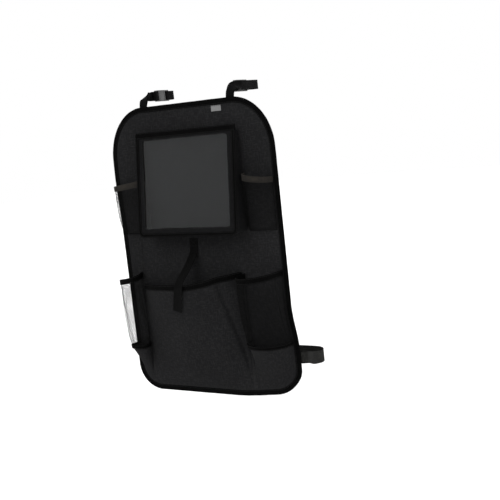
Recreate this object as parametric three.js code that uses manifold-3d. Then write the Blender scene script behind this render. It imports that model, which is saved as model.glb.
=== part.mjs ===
import * as THREE from 'three';
import { mergeVertices } from 'three/addons/utils/BufferGeometryUtils.js';
import Module from 'manifold-3d';

// Car seat back organizer: a padded fabric panel with a taped edge that hangs
// from two post loops and is held flat by a lower belt. On its front are a
// framed window pocket, two small net pockets, a wide pocket and two tall side nets.
// Millimetres. +Z is up and the panel stands in the XZ plane. Its rear face is
// at y = 0, its pockets stand out towards -Y, and the origin is the rear face's centre.
// A depth is a distance in front of the rear face, so y = -depth.

// Panel
const PANEL_WIDTH = 430;
const PANEL_HEIGHT = 660;
const PANEL_THICKNESS = 3;
const SHOULDER_WIDTH = 95;
const SHOULDER_DROP = 110;
const CORNER_RADIUS = 60;

// Cloth, tape and clearances
const CLOTH = 1.2;
const TAPE = 0.8;
const TAPE_WIDTH = 11;
const MOUTH_TAPE_WIDTH = 10;
const GAP = 0.3;
const SEAM_MARGIN = 2.2;

// Window pocket: a framed clear front on a gusset, deeper at its foot
const WINDOW_POCKET_WIDTH = 263;
const WINDOW_POCKET_TOP = 274;
const WINDOW_POCKET_FOOT = 42;
const WINDOW_POCKET_TOP_DEPTH = 18;
const WINDOW_POCKET_FOOT_DEPTH = 50;
const WINDOW_POCKET_CORNER = 14;
const WINDOW_FRAME_SIDE = 19;
const WINDOW_FRAME_FOOT = 19;
const WINDOW_FRAME_TOP = 17;
const WINDOW_CORNER = 5;
const WINDOW_OVERLAP = 6;
const WINDOW_FILM = 0.8;
const FRAME_TAPE_WIDTH = 8;

// Nets: cloth cut through with staggered diamonds
const NET_PITCH = 25;
const NET_STRAND = 3;
const NET_EDGE = 6;
const MOUTH_GRIP = 3;

// Small net pockets beside the window pocket
const SMALL_NET_FOOT = 44;
const SMALL_NET_INNER_TOP = 169;
const SMALL_NET_OUTER_TOP = 158;
const SMALL_NET_DEPTH = 32;

// Side nets, and the seams that divide them from the wide pocket
const LEFT_SEAM_X = -171;
const RIGHT_SEAM_X = 104;
const SEAM_WIDTH = 7;
const LEFT_NET_FOOT = -219;
const LEFT_NET_OUTER_TOP = -60;
const LEFT_NET_INNER_TOP = -46;
const LEFT_NET_DEPTH = 50;
const LEFT_NET_SWELL = 26;
const LEFT_NET_FOOT_FULLNESS = 0.72;
const RIGHT_NET_FOOT = -204;
const RIGHT_NET_OUTER_TOP = -42;
const RIGHT_NET_INNER_TOP = -50;
const RIGHT_NET_DEPTH = 76;
const RIGHT_NET_SWELL = 4;
const RIGHT_NET_FOOT_FULLNESS = 0.72;
const NET_FOOT_TAPE_WIDTH = 9;
const NET_FOOT_SAG = 1.5;

// Wide pocket
const WIDE_POCKET_DEPTH = 60;
const WIDE_POCKET_LEFT_MOUTH = -76;
const WIDE_POCKET_RIGHT_MOUTH = -50;
const WIDE_POCKET_LEAN = 1.25;
const WIDE_POCKET_FLATNESS = 2.6;
const WIDE_POCKET_ROUNDING = 0.8;
const WIDE_POCKET_BILLOW = 0.8;

// Closure strap over the wide pocket's mouth
const CLOSURE_WIDTH = 22;
const CLOSURE_TOP_X = -17;
const CLOSURE_END_X = -26;
const CLOSURE_TOP = 30;
const CLOSURE_END = -126;
const PATCH_HEIGHT = 35;
const PATCH = 1;

// Webbing
const WEBBING = 1.2;
const TOP_WEBBING_WIDTH = 20;
const BELT_WIDTH = 28;

// Post loops at the top edge
const POST_LOOP_X = 116;
const POST_LOOP_REACH = 105;
const POST_LOOP_LIFT = 24;
const POST_LOOP_RADIUS = 9;
const TOP_MOUTH_Y = 67;
const SEWN_LENGTH = 10;

// Lower belt, joined behind the panel
const BELT_Z = -240;
const BELT_DROP = 20;
const BELT_REACH = 132;
const BELT_SIDE_X = 226;
const BELT_CORNER = 30;
const BELT_BUCKLE_X = -40;
const BELT_LEFT_TAIL = 30;
const BELT_RIGHT_TAIL = 60;

// Side-release buckles, sized from their webbing
const BUCKLE_RIM = 2.5;
const BUCKLE_WALL = 1.7;
const BUCKLE_THICKNESS = 8;
const BUCKLE_CAVITY = 18;
const BUCKLE_BAR = 3;
const BUCKLE_BAR_THICKNESS = 4;
const BUCKLE_SHOULDER = 4;
const BUCKLE_SLOT = 4.6;
const BUCKLE_WINDOW_START = 7;
const BUCKLE_WINDOW_LENGTH = 9;
const PRONG_WIDTH = 2.2;
const PRONG_LENGTH = 16.5;
const TONGUE_HALF_WIDTH = 2;
const BUCKLE_CORNER = 3;

// Label under the top edge
const LABEL_X = 81;
const LABEL_WIDTH = 25;
const LABEL_HEIGHT = 12;
const LABEL_THICKNESS = 0.6;

// Steps of the curved pieces
const CURVE_STEPS = 5;
const WIDE_STEPS = 16;
const WIDE_ROWS = 5;
const WEBBING_STEPS = 2;

const wasm = await Module();
wasm.setup();

// Geometry with its position only and shared vertices merged.
function bare(geometry) {
  const copy = geometry.clone();
  copy.deleteAttribute('normal');
  copy.deleteAttribute('uv');
  return mergeVertices(copy, 1e-4);
}

function toSolid(geometry) {
  const closed = bare(geometry);
  return new wasm.Manifold(new wasm.Mesh({
    numProp: 3,
    vertProperties: new Float32Array(closed.attributes.position.array),
    triVerts: new Uint32Array(closed.index.array),
  }));
}

function toGeometry(solid) {
  const mesh = solid.getMesh();
  const geometry = new THREE.BufferGeometry();
  geometry.setAttribute('position', new THREE.BufferAttribute(new Float32Array(mesh.vertProperties), 3));
  geometry.setIndex(new THREE.BufferAttribute(new Uint32Array(mesh.triVerts), 1));
  return geometry;
}

// A flat outline in the panel's plane, given thickness between two depths.
function slab(shape, nearDepth, farDepth) {
  const options = { depth: farDepth - nearDepth, bevelEnabled: false, curveSegments: CURVE_STEPS };
  const geometry = new THREE.ExtrudeGeometry(shape, options);
  return geometry.translate(0, 0, nearDepth).rotateX(Math.PI / 2);
}

function box(x0, x1, y0, y1, z0, z1) {
  const geometry = new THREE.BoxGeometry(x1 - x0, y1 - y0, z1 - z0);
  return geometry.translate((x0 + x1) / 2, (y0 + y1) / 2, (z0 + z1) / 2);
}

function roundedRectangle(x0, x1, y0, y1, radius) {
  const shape = new THREE.Shape();
  shape.moveTo(x0 + radius, y0);
  shape.lineTo(x1 - radius, y0);
  shape.absarc(x1 - radius, y0 + radius, radius, -Math.PI / 2, 0, false);
  shape.lineTo(x1, y1 - radius);
  shape.absarc(x1 - radius, y1 - radius, radius, 0, Math.PI / 2, false);
  shape.lineTo(x0 + radius, y1);
  shape.absarc(x0 + radius, y1 - radius, radius, Math.PI / 2, Math.PI, false);
  shape.lineTo(x0, y0 + radius);
  shape.absarc(x0 + radius, y0 + radius, radius, Math.PI, Math.PI * 1.5, false);
  return shape;
}

// The panel's outline, drawn in by an inset: elliptical shoulders, round foot corners.
function panelOutline(inset) {
  const w = PANEL_WIDTH / 2 - inset;
  const h = PANEL_HEIGHT / 2 - inset;
  const r = CORNER_RADIUS - inset;
  const sx = SHOULDER_WIDTH - inset;
  const sz = SHOULDER_DROP - inset;
  const shape = new THREE.Shape();
  shape.moveTo(-w + r, -h);
  shape.lineTo(w - r, -h);
  shape.absarc(w - r, -h + r, r, -Math.PI / 2, 0, false);
  shape.lineTo(w, h - sz);
  shape.absellipse(w - sx, h - sz, sx, sz, 0, Math.PI / 2, false);
  shape.lineTo(-w + sx, h);
  shape.absellipse(-w + sx, h - sz, sx, sz, Math.PI / 2, Math.PI, false);
  shape.lineTo(-w, -h + r);
  shape.absarc(-w + r, -h + r, r, Math.PI, Math.PI * 1.5, false);
  return shape;
}

// The edge tape's seam presses the padded edge in from behind, so the tape lies
// just inside the rear face.
const EDGE_RECESS = TAPE + 2 * GAP;

function backPanel() {
  const pressed = toSolid(slab(panelOutline(0), EDGE_RECESS, PANEL_THICKNESS));
  const middleDepth = (EDGE_RECESS + PANEL_THICKNESS) / 2;
  const padded = toSolid(slab(panelOutline(TAPE_WIDTH + GAP), 0, middleDepth));
  return toGeometry(pressed.add(padded));
}

// Folded tape round the whole edge: a U section that grips the panel.
function edgeBinding() {
  const skin = GAP + TAPE;
  const outer = toSolid(slab(panelOutline(-skin), EDGE_RECESS - skin, PANEL_THICKNESS + skin));
  const slot = toSolid(slab(panelOutline(-GAP), EDGE_RECESS - GAP, PANEL_THICKNESS + GAP));
  const middle = toSolid(slab(panelOutline(TAPE_WIDTH), -2 * skin, PANEL_THICKNESS + 2 * skin));
  return toGeometry(outer.subtract(slot).subtract(middle));
}

// Depth of the middle of a cloth that lies on the panel's front face.
const ON_PANEL = PANEL_THICKNESS + GAP + CLOTH / 2;

// Half width and foot line that are left for pockets inside the edge tape.
const POCKET_EDGE_X = PANEL_WIDTH / 2 - TAPE_WIDTH - SEAM_MARGIN;

function footLine(x) {
  const inset = TAPE_WIDTH + SEAM_MARGIN;
  const radius = CORNER_RADIUS - inset;
  const cornerX = PANEL_WIDTH / 2 - CORNER_RADIUS;
  const reach = Math.min(Math.max(Math.abs(x) - cornerX, 0), radius);
  return -PANEL_HEIGHT / 2 + CORNER_RADIUS - Math.sqrt(radius * radius - reach * reach);
}

function mix(a, b, share) {
  return a + (b - a) * share;
}

function smooth(share) {
  const s = Math.min(Math.max(share, 0), 1);
  return s * s * (3 - 2 * s);
}

// A thick sheet through a grid of middle points, rows upwards and columns to the
// right. Cells that are not kept leave an opening with its own walls.
function sheet(points, thickness, kept = () => true) {
  const rows = points.length;
  const columns = points[0].length;
  const at = (r, c) => points[Math.min(Math.max(r, 0), rows - 1)][Math.min(Math.max(c, 0), columns - 1)];
  const isKept = (r, c) => r >= 0 && c >= 0 && r < rows - 1 && c < columns - 1 && kept(r, c);
  const front = [];
  const rear = [];
  for (let r = 0; r < rows; r += 1) {
    for (let c = 0; c < columns; c += 1) {
      const above = isKept(r, c) || isKept(r, c - 1) ? 1 : 0;
      const below = isKept(r - 1, c) || isKept(r - 1, c - 1) ? 1 : 0;
      const after = isKept(r, c) || isKept(r - 1, c) ? 1 : 0;
      const before = isKept(r, c - 1) || isKept(r - 1, c - 1) ? 1 : 0;
      const across = at(r, c + after).clone().sub(at(r, c - before));
      const upwards = at(r + above, c).clone().sub(at(r - below, c));
      const normal = across.cross(upwards).normalize().multiplyScalar(thickness / 2);
      front.push(at(r, c).clone().add(normal));
      rear.push(at(r, c).clone().sub(normal));
    }
  }
  const positions = [];
  const triangle = (...corners) => corners.forEach((p) => positions.push(p.x, p.y, p.z));
  const quad = (a, b, c, d) => {
    triangle(a, b, c);
    triangle(a, c, d);
  };
  const index = (r, c) => r * columns + c;
  const rim = (i, j) => quad(front[j], front[i], rear[i], rear[j]);
  for (let r = 0; r < rows - 1; r += 1) {
    for (let c = 0; c < columns - 1; c += 1) {
      if (isKept(r, c)) {
        const corners = [index(r, c), index(r, c + 1), index(r + 1, c + 1), index(r + 1, c)];
        quad(...corners.map((i) => front[i]));
        quad(...corners.map((i) => rear[i]).reverse());
        if (!isKept(r - 1, c)) rim(corners[0], corners[1]);
        if (!isKept(r, c + 1)) rim(corners[1], corners[2]);
        if (!isKept(r + 1, c)) rim(corners[2], corners[3]);
        if (!isKept(r, c - 1)) rim(corners[3], corners[0]);
      }
    }
  }
  const geometry = new THREE.BufferGeometry();
  geometry.setAttribute('position', new THREE.Float32BufferAttribute(positions, 3));
  return mergeVertices(geometry, 1e-4);
}

// The outward normal of a wall at a share of its width and of its height.
function wallNormal(wall, across, up) {
  const step = 0.004;
  const right = wall.point(Math.min(across + step, 1), up);
  const left = wall.point(Math.max(across - step, 0), up);
  const high = wall.point(across, up + step);
  const low = wall.point(across, up - step);
  return right.sub(left).cross(high.sub(low)).normalize();
}

// Lays a flat cut, in millimetres from a wall's lower left corner, onto the wall.
function drape(geometry, wall) {
  const cut = bare(geometry);
  const position = cut.attributes.position;
  for (let i = 0; i < position.count; i += 1) {
    const across = position.getX(i) / wall.width;
    const up = position.getY(i) / wall.height;
    const point = wall.point(across, up);
    point.addScaledVector(wallNormal(wall, across, up), position.getZ(i));
    position.setXYZ(i, point.x, point.y, point.z);
  }
  return cut;
}

// The bow of a pocket's mouth seen from above, with walls that may swell past its base.
class Bow extends THREE.Curve {
  constructor(halfBase, swell, depth) {
    super();
    this.halfBase = halfBase;
    this.swell = swell;
    this.depth = depth;
  }

  getPoint(t) {
    const angle = Math.PI * t;
    const side = this.halfBase + this.swell * Math.sin(angle);
    return new THREE.Vector3(-Math.cos(angle) * side, this.depth * Math.sin(angle), 0);
  }
}

// A bowed pocket wall between two seams. The fullness gives how much of the bow
// is left at a share of the height.
function bowedWall({ left, right, foot, leftTop, rightTop, depth, swell, fullness }) {
  const bow = new Bow((right - left) / 2, swell, depth);
  bow.arcLengthDivisions = 400;
  const middle = (left + right) / 2;
  const height = (leftTop + rightTop) / 2 - foot;
  const point = (across, up) => {
    const flat = bow.getPointAt(Math.min(Math.max(across, 0), 1));
    const share = fullness(up);
    const reach = mix(Math.sign(flat.x) * Math.min(Math.abs(flat.x), (right - left) / 2), flat.x, share);
    const z = mix(foot, mix(leftTop, rightTop, smooth(across)), up);
    return new THREE.Vector3(middle + reach, -(ON_PANEL + share * flat.y), z);
  };
  return { width: bow.getLength(), height, point };
}

// Flat triangles given thickness, with a wall along each open edge.
function thicken(points, triangles, thickness) {
  const directed = new Set();
  triangles.forEach(([a, b, c]) => [[a, b], [b, c], [c, a]].forEach(([i, j]) => directed.add(`${i} ${j}`)));
  const positions = [];
  const add = (i, side) => positions.push(points[i].x, points[i].y, (side * thickness) / 2);
  triangles.forEach((corners) => {
    corners.forEach((i) => add(i, 1));
    corners.slice().reverse().forEach((i) => add(i, -1));
    corners.forEach((i, k) => {
      const j = corners[(k + 1) % 3];
      if (!directed.has(`${j} ${i}`)) {
        [[j, 1], [i, 1], [i, -1], [j, 1], [i, -1], [j, -1]].forEach(([at, side]) => add(at, side));
      }
    });
  });
  const geometry = new THREE.BufferGeometry();
  geometry.setAttribute('position', new THREE.Float32BufferAttribute(positions, 3));
  return geometry;
}

// The lattice of a net: cells half a diamond wide and high, inside a plain edge.
function netLattice(wall) {
  const top = wall.height - MOUTH_TAPE_WIDTH + MOUTH_GRIP;
  const innerWidth = wall.width - 2 * NET_EDGE;
  const innerHeight = top - 2 * NET_EDGE;
  const columns = 2 * Math.max(2, Math.round(innerWidth / NET_PITCH));
  const rows = 2 * Math.max(2, Math.round(innerHeight / NET_PITCH));
  const along = [0];
  const upwards = [0];
  for (let i = 0; i <= columns; i += 1) along.push(NET_EDGE + (innerWidth * i) / columns);
  for (let j = 0; j <= rows; j += 1) upwards.push(NET_EDGE + (innerHeight * j) / rows);
  along.push(wall.width);
  upwards.push(top);
  return { along, upwards };
}

// A cloth cut through with staggered diamonds, inside a plain edge.
function netCut(wall) {
  const { along, upwards } = netLattice(wall);
  const halfX = along[2] - along[1];
  const halfY = upwards[2] - upwards[1];
  const open = 1 - (NET_STRAND * Math.hypot(halfX, halfY)) / (2 * halfX * halfY);
  const lastX = along.length - 1;
  const lastY = upwards.length - 1;
  const points = [];
  upwards.forEach((y) => along.forEach((x) => points.push(new THREE.Vector2(x, y))));
  const node = (i, j) => j * along.length + i;
  const triangles = [];
  const quad = (a, b, c, d) => triangles.push([a, b, c], [a, c, d]);
  const onEdge = (i, j) => i === 0 || j === 0 || i === lastX - 1 || j === lastY - 1;
  for (let j = 0; j < lastY; j += 1) {
    for (let i = 0; i < lastX; i += 1) {
      const corners = [node(i, j), node(i + 1, j), node(i + 1, j + 1), node(i, j + 1)];
      if (onEdge(i, j)) quad(...corners);
    }
  }
  const isHole = (i, j) => i > 1 && j > 1 && i < lastX - 1 && j < lastY - 1 && (i + j) % 2 === 0;
  for (let j = 1; j < lastY; j += 1) {
    for (let i = 1; i < lastX; i += 1) {
      if (isHole(i, j)) {
        const ring = [node(i + 1, j), node(i, j + 1), node(i - 1, j), node(i, j - 1)];
        const hole = ring.map((k) => {
          points.push(points[node(i, j)].clone().lerp(points[k], open));
          return points.length - 1;
        });
        ring.forEach((k, n) => quad(k, ring[(n + 1) % 4], hole[(n + 1) % 4], hole[n]));
      }
    }
  }
  const fill = (a, b, c) => triangles.push([a, b, c]);
  for (let i = 1; i < lastX; i += 2) {
    if (i > 1) fill(node(i - 1, 1), node(i, 1), node(i, 2));
    if (i > 1) fill(node(i, lastY - 1), node(i - 1, lastY - 1), node(i, lastY - 2));
    if (i < lastX - 1) fill(node(i, 1), node(i + 1, 1), node(i, 2));
    if (i < lastX - 1) fill(node(i + 1, lastY - 1), node(i, lastY - 1), node(i, lastY - 2));
  }
  for (let j = 3; j < lastY - 1; j += 2) {
    fill(node(1, j), node(1, j - 1), node(2, j));
    fill(node(1, j + 1), node(1, j), node(2, j));
    fill(node(lastX - 1, j - 1), node(lastX - 1, j), node(lastX - 2, j));
    fill(node(lastX - 1, j), node(lastX - 1, j + 1), node(lastX - 2, j));
  }
  return thicken(points, triangles, CLOTH);
}

// Moves evenly stepped lengths to the stations given.
function toStations(geometry, length, stations) {
  const position = geometry.attributes.position;
  const steps = stations.length - 1;
  for (let i = 0; i < position.count; i += 1) {
    position.setX(i, stations[Math.round((position.getX(i) / length) * steps)]);
  }
  return geometry;
}

// Folded tape along a wall's upper edge. It holds whatever lies between two
// offsets from the wall's middle, as deep as its grip.
function mouthTape(wall, stations, rearOffset, frontOffset, grip) {
  const skin = GAP + TAPE;
  const foot = -MOUTH_TAPE_WIDTH;
  const gripTop = foot + grip + GAP;
  const section = new THREE.Shape();
  section.moveTo(-frontOffset - skin, foot);
  section.lineTo(-frontOffset - GAP, foot);
  section.lineTo(-frontOffset - GAP, gripTop);
  section.lineTo(-rearOffset + GAP, gripTop);
  section.lineTo(-rearOffset + GAP, foot);
  section.lineTo(-rearOffset + skin, foot);
  section.lineTo(-rearOffset + skin, 0);
  section.lineTo(-frontOffset - skin, 0);
  const steps = stations.length - 1;
  const tape = new THREE.ExtrudeGeometry(section, { depth: wall.width, steps, bevelEnabled: false });
  toStations(tape.rotateY(Math.PI / 2), wall.width, stations);
  return drape(tape.translate(0, wall.height, 0), wall);
}

function evenStations(length, steps) {
  return Array.from({ length: steps + 1 }, (unused, i) => (length * i) / steps);
}

function smallNetWall(side) {
  const inner = WINDOW_POCKET_WIDTH / 2 + SEAM_MARGIN;
  const left = side < 0 ? -POCKET_EDGE_X : inner;
  const right = side < 0 ? -inner : POCKET_EDGE_X;
  return bowedWall({
    left,
    right,
    foot: SMALL_NET_FOOT,
    leftTop: side < 0 ? SMALL_NET_OUTER_TOP : SMALL_NET_INNER_TOP,
    rightTop: side < 0 ? SMALL_NET_INNER_TOP : SMALL_NET_OUTER_TOP,
    depth: SMALL_NET_DEPTH,
    swell: 0,
    fullness: (up) => Math.sqrt(Math.max(1 - (1 - up) ** 4, 0)),
  });
}

// A side net's share of its full bow, least at its foot.
function netFullness(atFoot) {
  return (up) => mix(atFoot, 1, 1 - (1 - up) ** 2);
}

function leftNetWall() {
  return bowedWall({
    left: -POCKET_EDGE_X,
    right: LEFT_SEAM_X - SEAM_WIDTH / 2,
    foot: LEFT_NET_FOOT,
    leftTop: LEFT_NET_OUTER_TOP,
    rightTop: LEFT_NET_INNER_TOP,
    depth: LEFT_NET_DEPTH,
    swell: LEFT_NET_SWELL,
    fullness: netFullness(LEFT_NET_FOOT_FULLNESS),
  });
}

function rightNetWall() {
  return bowedWall({
    left: RIGHT_SEAM_X + SEAM_WIDTH / 2,
    right: POCKET_EDGE_X,
    foot: RIGHT_NET_FOOT,
    leftTop: RIGHT_NET_INNER_TOP,
    rightTop: RIGHT_NET_OUTER_TOP,
    depth: RIGHT_NET_DEPTH,
    swell: RIGHT_NET_SWELL,
    fullness: netFullness(RIGHT_NET_FOOT_FULLNESS),
  });
}

// The front of the window pocket is flat and leans back towards its mouth.
function windowDepth(z) {
  const share = (z - WINDOW_POCKET_FOOT) / (WINDOW_POCKET_TOP - WINDOW_POCKET_FOOT);
  return mix(WINDOW_POCKET_FOOT_DEPTH, WINDOW_POCKET_TOP_DEPTH, share);
}

function windowWall() {
  const rise = WINDOW_POCKET_TOP - WINDOW_POCKET_FOOT;
  const lean = WINDOW_POCKET_FOOT_DEPTH - WINDOW_POCKET_TOP_DEPTH;
  const point = (across, up) => {
    const z = mix(WINDOW_POCKET_FOOT, WINDOW_POCKET_TOP, up);
    return new THREE.Vector3((across - 0.5) * WINDOW_POCKET_WIDTH, -windowDepth(z), z);
  };
  return { width: WINDOW_POCKET_WIDTH, height: Math.hypot(rise, lean), point };
}

// A straight-topped outline with two round corners at its foot.
function cradleOutline(x0, x1, y0, y1, radius) {
  const shape = new THREE.Shape();
  shape.moveTo(x0, y1);
  shape.lineTo(x0, y0 + radius);
  shape.absarc(x0 + radius, y0 + radius, radius, Math.PI, Math.PI * 1.5, false);
  shape.lineTo(x1 - radius, y0);
  shape.absarc(x1 - radius, y0 + radius, radius, -Math.PI / 2, 0, false);
  shape.lineTo(x1, y1);
  return shape;
}

function flatCut(shape, rearOffset, frontOffset) {
  const options = { depth: frontOffset - rearOffset, bevelEnabled: false, curveSegments: CURVE_STEPS };
  return new THREE.ExtrudeGeometry(shape, options).translate(0, 0, rearOffset);
}

function windowPocketFront(wall) {
  const top = wall.height - TAPE - GAP;
  const frame = cradleOutline(0, wall.width, 0, top, WINDOW_POCKET_CORNER);
  const windowRight = wall.width - WINDOW_FRAME_SIDE;
  const windowTop = top - WINDOW_FRAME_TOP;
  frame.holes.push(roundedRectangle(
    WINDOW_FRAME_SIDE, windowRight, WINDOW_FRAME_FOOT, windowTop, WINDOW_CORNER));
  return drape(flatCut(frame, -CLOTH / 2, CLOTH / 2), wall);
}

const FILM_REAR = -(CLOTH / 2 + GAP + WINDOW_FILM);

function windowFilm(wall) {
  const side = WINDOW_FRAME_SIDE - WINDOW_OVERLAP;
  const foot = WINDOW_FRAME_FOOT - WINDOW_OVERLAP;
  const top = wall.height - TAPE - GAP;
  const film = cradleOutline(side, wall.width - side, foot, top, WINDOW_CORNER);
  return drape(flatCut(film, FILM_REAR, FILM_REAR + WINDOW_FILM), wall);
}

function windowFrameTape(wall) {
  const top = wall.height - MOUTH_TAPE_WIDTH - GAP;
  const w = FRAME_TAPE_WIDTH;
  const outer = cradleOutline(0, wall.width, 0, top, WINDOW_POCKET_CORNER).getPoints(CURVE_STEPS);
  const innerOutline = cradleOutline(w, wall.width - w, w, top, WINDOW_POCKET_CORNER - w);
  const inner = innerOutline.getPoints(CURVE_STEPS).reverse();
  const rear = CLOTH / 2 + GAP;
  return drape(flatCut(new THREE.Shape([...outer, ...inner]), rear, rear + TAPE), wall);
}

// One strip of cloth folded down one side, along the foot and up the other.
function windowPocketGusset() {
  const half = WINDOW_POCKET_WIDTH / 2 - CLOTH / 2;
  const foot = WINDOW_POCKET_FOOT + CLOTH / 2;
  const top = WINDOW_POCKET_TOP - MOUTH_TAPE_WIDTH - SEAM_MARGIN;
  const radius = WINDOW_POCKET_CORNER - CLOTH / 2;
  const route = cradleOutline(-half, half, foot, top, radius).getPoints(CURVE_STEPS);
  const rear = route.map((p) => new THREE.Vector3(p.x, -(PANEL_THICKNESS + GAP), p.y));
  const front = route.map((p) => new THREE.Vector3(p.x, -(windowDepth(p.y) - CLOTH / 2 - 2 * GAP), p.y));
  return sheet([rear, front], CLOTH);
}

// The wide pocket's front is one cloth: between the seams it bows out to its
// mouth, and beside them it carries the feet of the two side nets.
const WIDE_LEFT = LEFT_SEAM_X + SEAM_WIDTH / 2;
const WIDE_RIGHT = RIGHT_SEAM_X - SEAM_WIDTH / 2;
const NET_SEAM_DROP = GAP + CLOTH / 2;

function wideMouthZ(share) {
  return mix(WIDE_POCKET_LEFT_MOUTH, WIDE_POCKET_RIGHT_MOUTH, smooth((share - 0.5) / 0.5));
}

function wideDepth(share, z) {
  const foot = footLine(mix(WIDE_LEFT, WIDE_RIGHT, share));
  const rise = Math.max(z - foot, 0) / (wideMouthZ(share) - foot);
  const fromMiddle = Math.abs(2 * share ** WIDE_POCKET_LEAN - 1);
  const bow = (1 - fromMiddle ** WIDE_POCKET_FLATNESS) ** WIDE_POCKET_ROUNDING;
  const tapeRoom = TAPE + 2 * GAP;
  return ON_PANEL + tapeRoom * rise + WIDE_POCKET_DEPTH * bow * rise ** WIDE_POCKET_BILLOW;
}

function wideWall() {
  const point = (across, up) => {
    const share = (1 - Math.cos(Math.PI * across)) / 2;
    const x = mix(WIDE_LEFT, WIDE_RIGHT, share);
    const z = mix(footLine(x), wideMouthZ(share), up);
    return new THREE.Vector3(x, -wideDepth(share, z), z);
  };
  const height = (WIDE_POCKET_LEFT_MOUTH + WIDE_POCKET_RIGHT_MOUTH) / 2 - footLine(0);
  return { width: WIDE_RIGHT - WIDE_LEFT + 2 * WIDE_POCKET_DEPTH, height, point };
}

// One column of the cloth under a side net, from the panel's foot up to the net.
function netFootColumn(net, left, right, share) {
  const seam = net.point(share, 0);
  const x = mix(left, right, share);
  const column = [];
  for (let r = 0; r <= WIDE_ROWS; r += 1) {
    const up = r / WIDE_ROWS;
    const depth = mix(ON_PANEL, -seam.y, up ** NET_FOOT_SAG);
    const z = mix(footLine(x), seam.z - NET_SEAM_DROP, up);
    column.push(new THREE.Vector3(mix(x, seam.x, up), -depth, z));
  }
  return column;
}

function widePocket(leftNet, rightNet) {
  const wall = wideWall();
  const columns = [];
  netLattice(leftNet).along.forEach((x) => {
    columns.push(netFootColumn(leftNet, -POCKET_EDGE_X, LEFT_SEAM_X - SEAM_WIDTH / 2, x / leftNet.width));
  });
  const firstWide = columns.length;
  const clothTop = 1 - (TAPE + GAP) / wall.height;
  for (let i = 0; i <= WIDE_STEPS; i += 1) {
    const across = i / WIDE_STEPS;
    const foot = wall.point(across, 0);
    const mouth = wall.point(across, clothTop);
    const share = (foot.x - WIDE_LEFT) / (WIDE_RIGHT - WIDE_LEFT);
    const seamZ = mix(LEFT_NET_FOOT, RIGHT_NET_FOOT, share) - NET_SEAM_DROP;
    const column = [];
    for (let r = 0; r <= WIDE_ROWS; r += 1) column.push(mix(foot.z, seamZ, r / WIDE_ROWS));
    for (let r = 1; r <= WIDE_ROWS; r += 1) column.push(mix(seamZ, mouth.z, r / WIDE_ROWS));
    columns.push(column.map((z) => new THREE.Vector3(foot.x, -wideDepth(share, z), z)));
  }
  const lastWide = columns.length - 1;
  netLattice(rightNet).along.forEach((x) => {
    columns.push(netFootColumn(rightNet, RIGHT_SEAM_X + SEAM_WIDTH / 2, POCKET_EDGE_X, x / rightNet.width));
  });
  const rows = [];
  for (let r = 0; r <= 2 * WIDE_ROWS; r += 1) {
    rows.push(columns.map((column) => column[Math.min(r, column.length - 1)]));
  }
  return sheet(rows, CLOTH, (r, c) => r < WIDE_ROWS || (c >= firstWide && c < lastWide));
}

// Tape over the seam where a side net meets the cloth under it.
function netFootTape(net) {
  const rear = CLOTH / 2 + 2 * GAP;
  const stations = netLattice(net).along.slice(1, -1);
  const tape = new THREE.BoxGeometry(net.width, NET_FOOT_TAPE_WIDTH, TAPE, stations.length - 1, 1, 1);
  tape.translate(net.width / 2, 0, rear + TAPE / 2);
  return drape(toStations(tape, net.width, stations), net);
}

// Flat webbing through hand-set points. A turn of 0 lays its width along X, and
// a quarter turn stands it up. A side of -1 mirrors the twist.
function webbing(points, turns, width, side = 1) {
  const curve = new THREE.CatmullRomCurve3(points, false, 'centripetal');
  const spans = points.length - 1;
  const steps = spans * WEBBING_STEPS;
  const edges = [[], []];
  for (let i = 0; i <= steps; i += 1) {
    const t = i / steps;
    const span = Math.min(Math.floor(t * spans), spans - 1);
    const turn = mix(turns[span], turns[span + 1], smooth(t * spans - span)) * Math.PI / 2;
    const forward = curve.getTangent(t);
    const across = new THREE.Vector3(side * Math.cos(turn), 0, -Math.sin(turn));
    across.addScaledVector(forward, -across.dot(forward)).normalize();
    edges[0].push(curve.getPoint(t).addScaledVector(across, -width / 2));
    edges[1].push(curve.getPoint(t).addScaledVector(across, width / 2));
  }
  return sheet(edges, WEBBING);
}

// Points of webbing that turns back round a buckle's bar. It comes in on the
// side given and goes out on the other.
function barTurn(centre, towardsBuckle, side) {
  const radius = Math.hypot(BUCKLE_BAR_THICKNESS / 2, BUCKLE_BAR / 2) + 2 * GAP + WEBBING / 2;
  const points = [];
  for (let i = 0; i <= 4; i += 1) {
    const angle = (Math.PI * i) / 4;
    const offset = side.clone().multiplyScalar(Math.cos(angle));
    offset.addScaledVector(towardsBuckle, Math.sin(angle)).multiplyScalar(radius);
    points.push(centre.clone().add(offset));
  }
  return points;
}

function plate(shape, thickness) {
  const options = { depth: thickness, bevelEnabled: false, curveSegments: CURVE_STEPS };
  return new THREE.ExtrudeGeometry(shape, options).translate(0, 0, -thickness / 2);
}

// Buckle halves lie with their width along X, and the plug enters towards +Y
// through the socket's mouth at y = 0.
const SOCKET_BAR_Y = BUCKLE_CAVITY + BUCKLE_WALL + BUCKLE_SLOT;
const PLUG_BAR_Y = -(GAP + BUCKLE_SHOULDER + BUCKLE_WALL + BUCKLE_SLOT + BUCKLE_BAR / 2);
const PRONG_THICKNESS = BUCKLE_THICKNESS - 2 * BUCKLE_WALL - 2 * GAP;
const BAR_CLEARANCE = BUCKLE_BAR / 2 + BUCKLE_SLOT + BUCKLE_BAR + 2;

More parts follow.
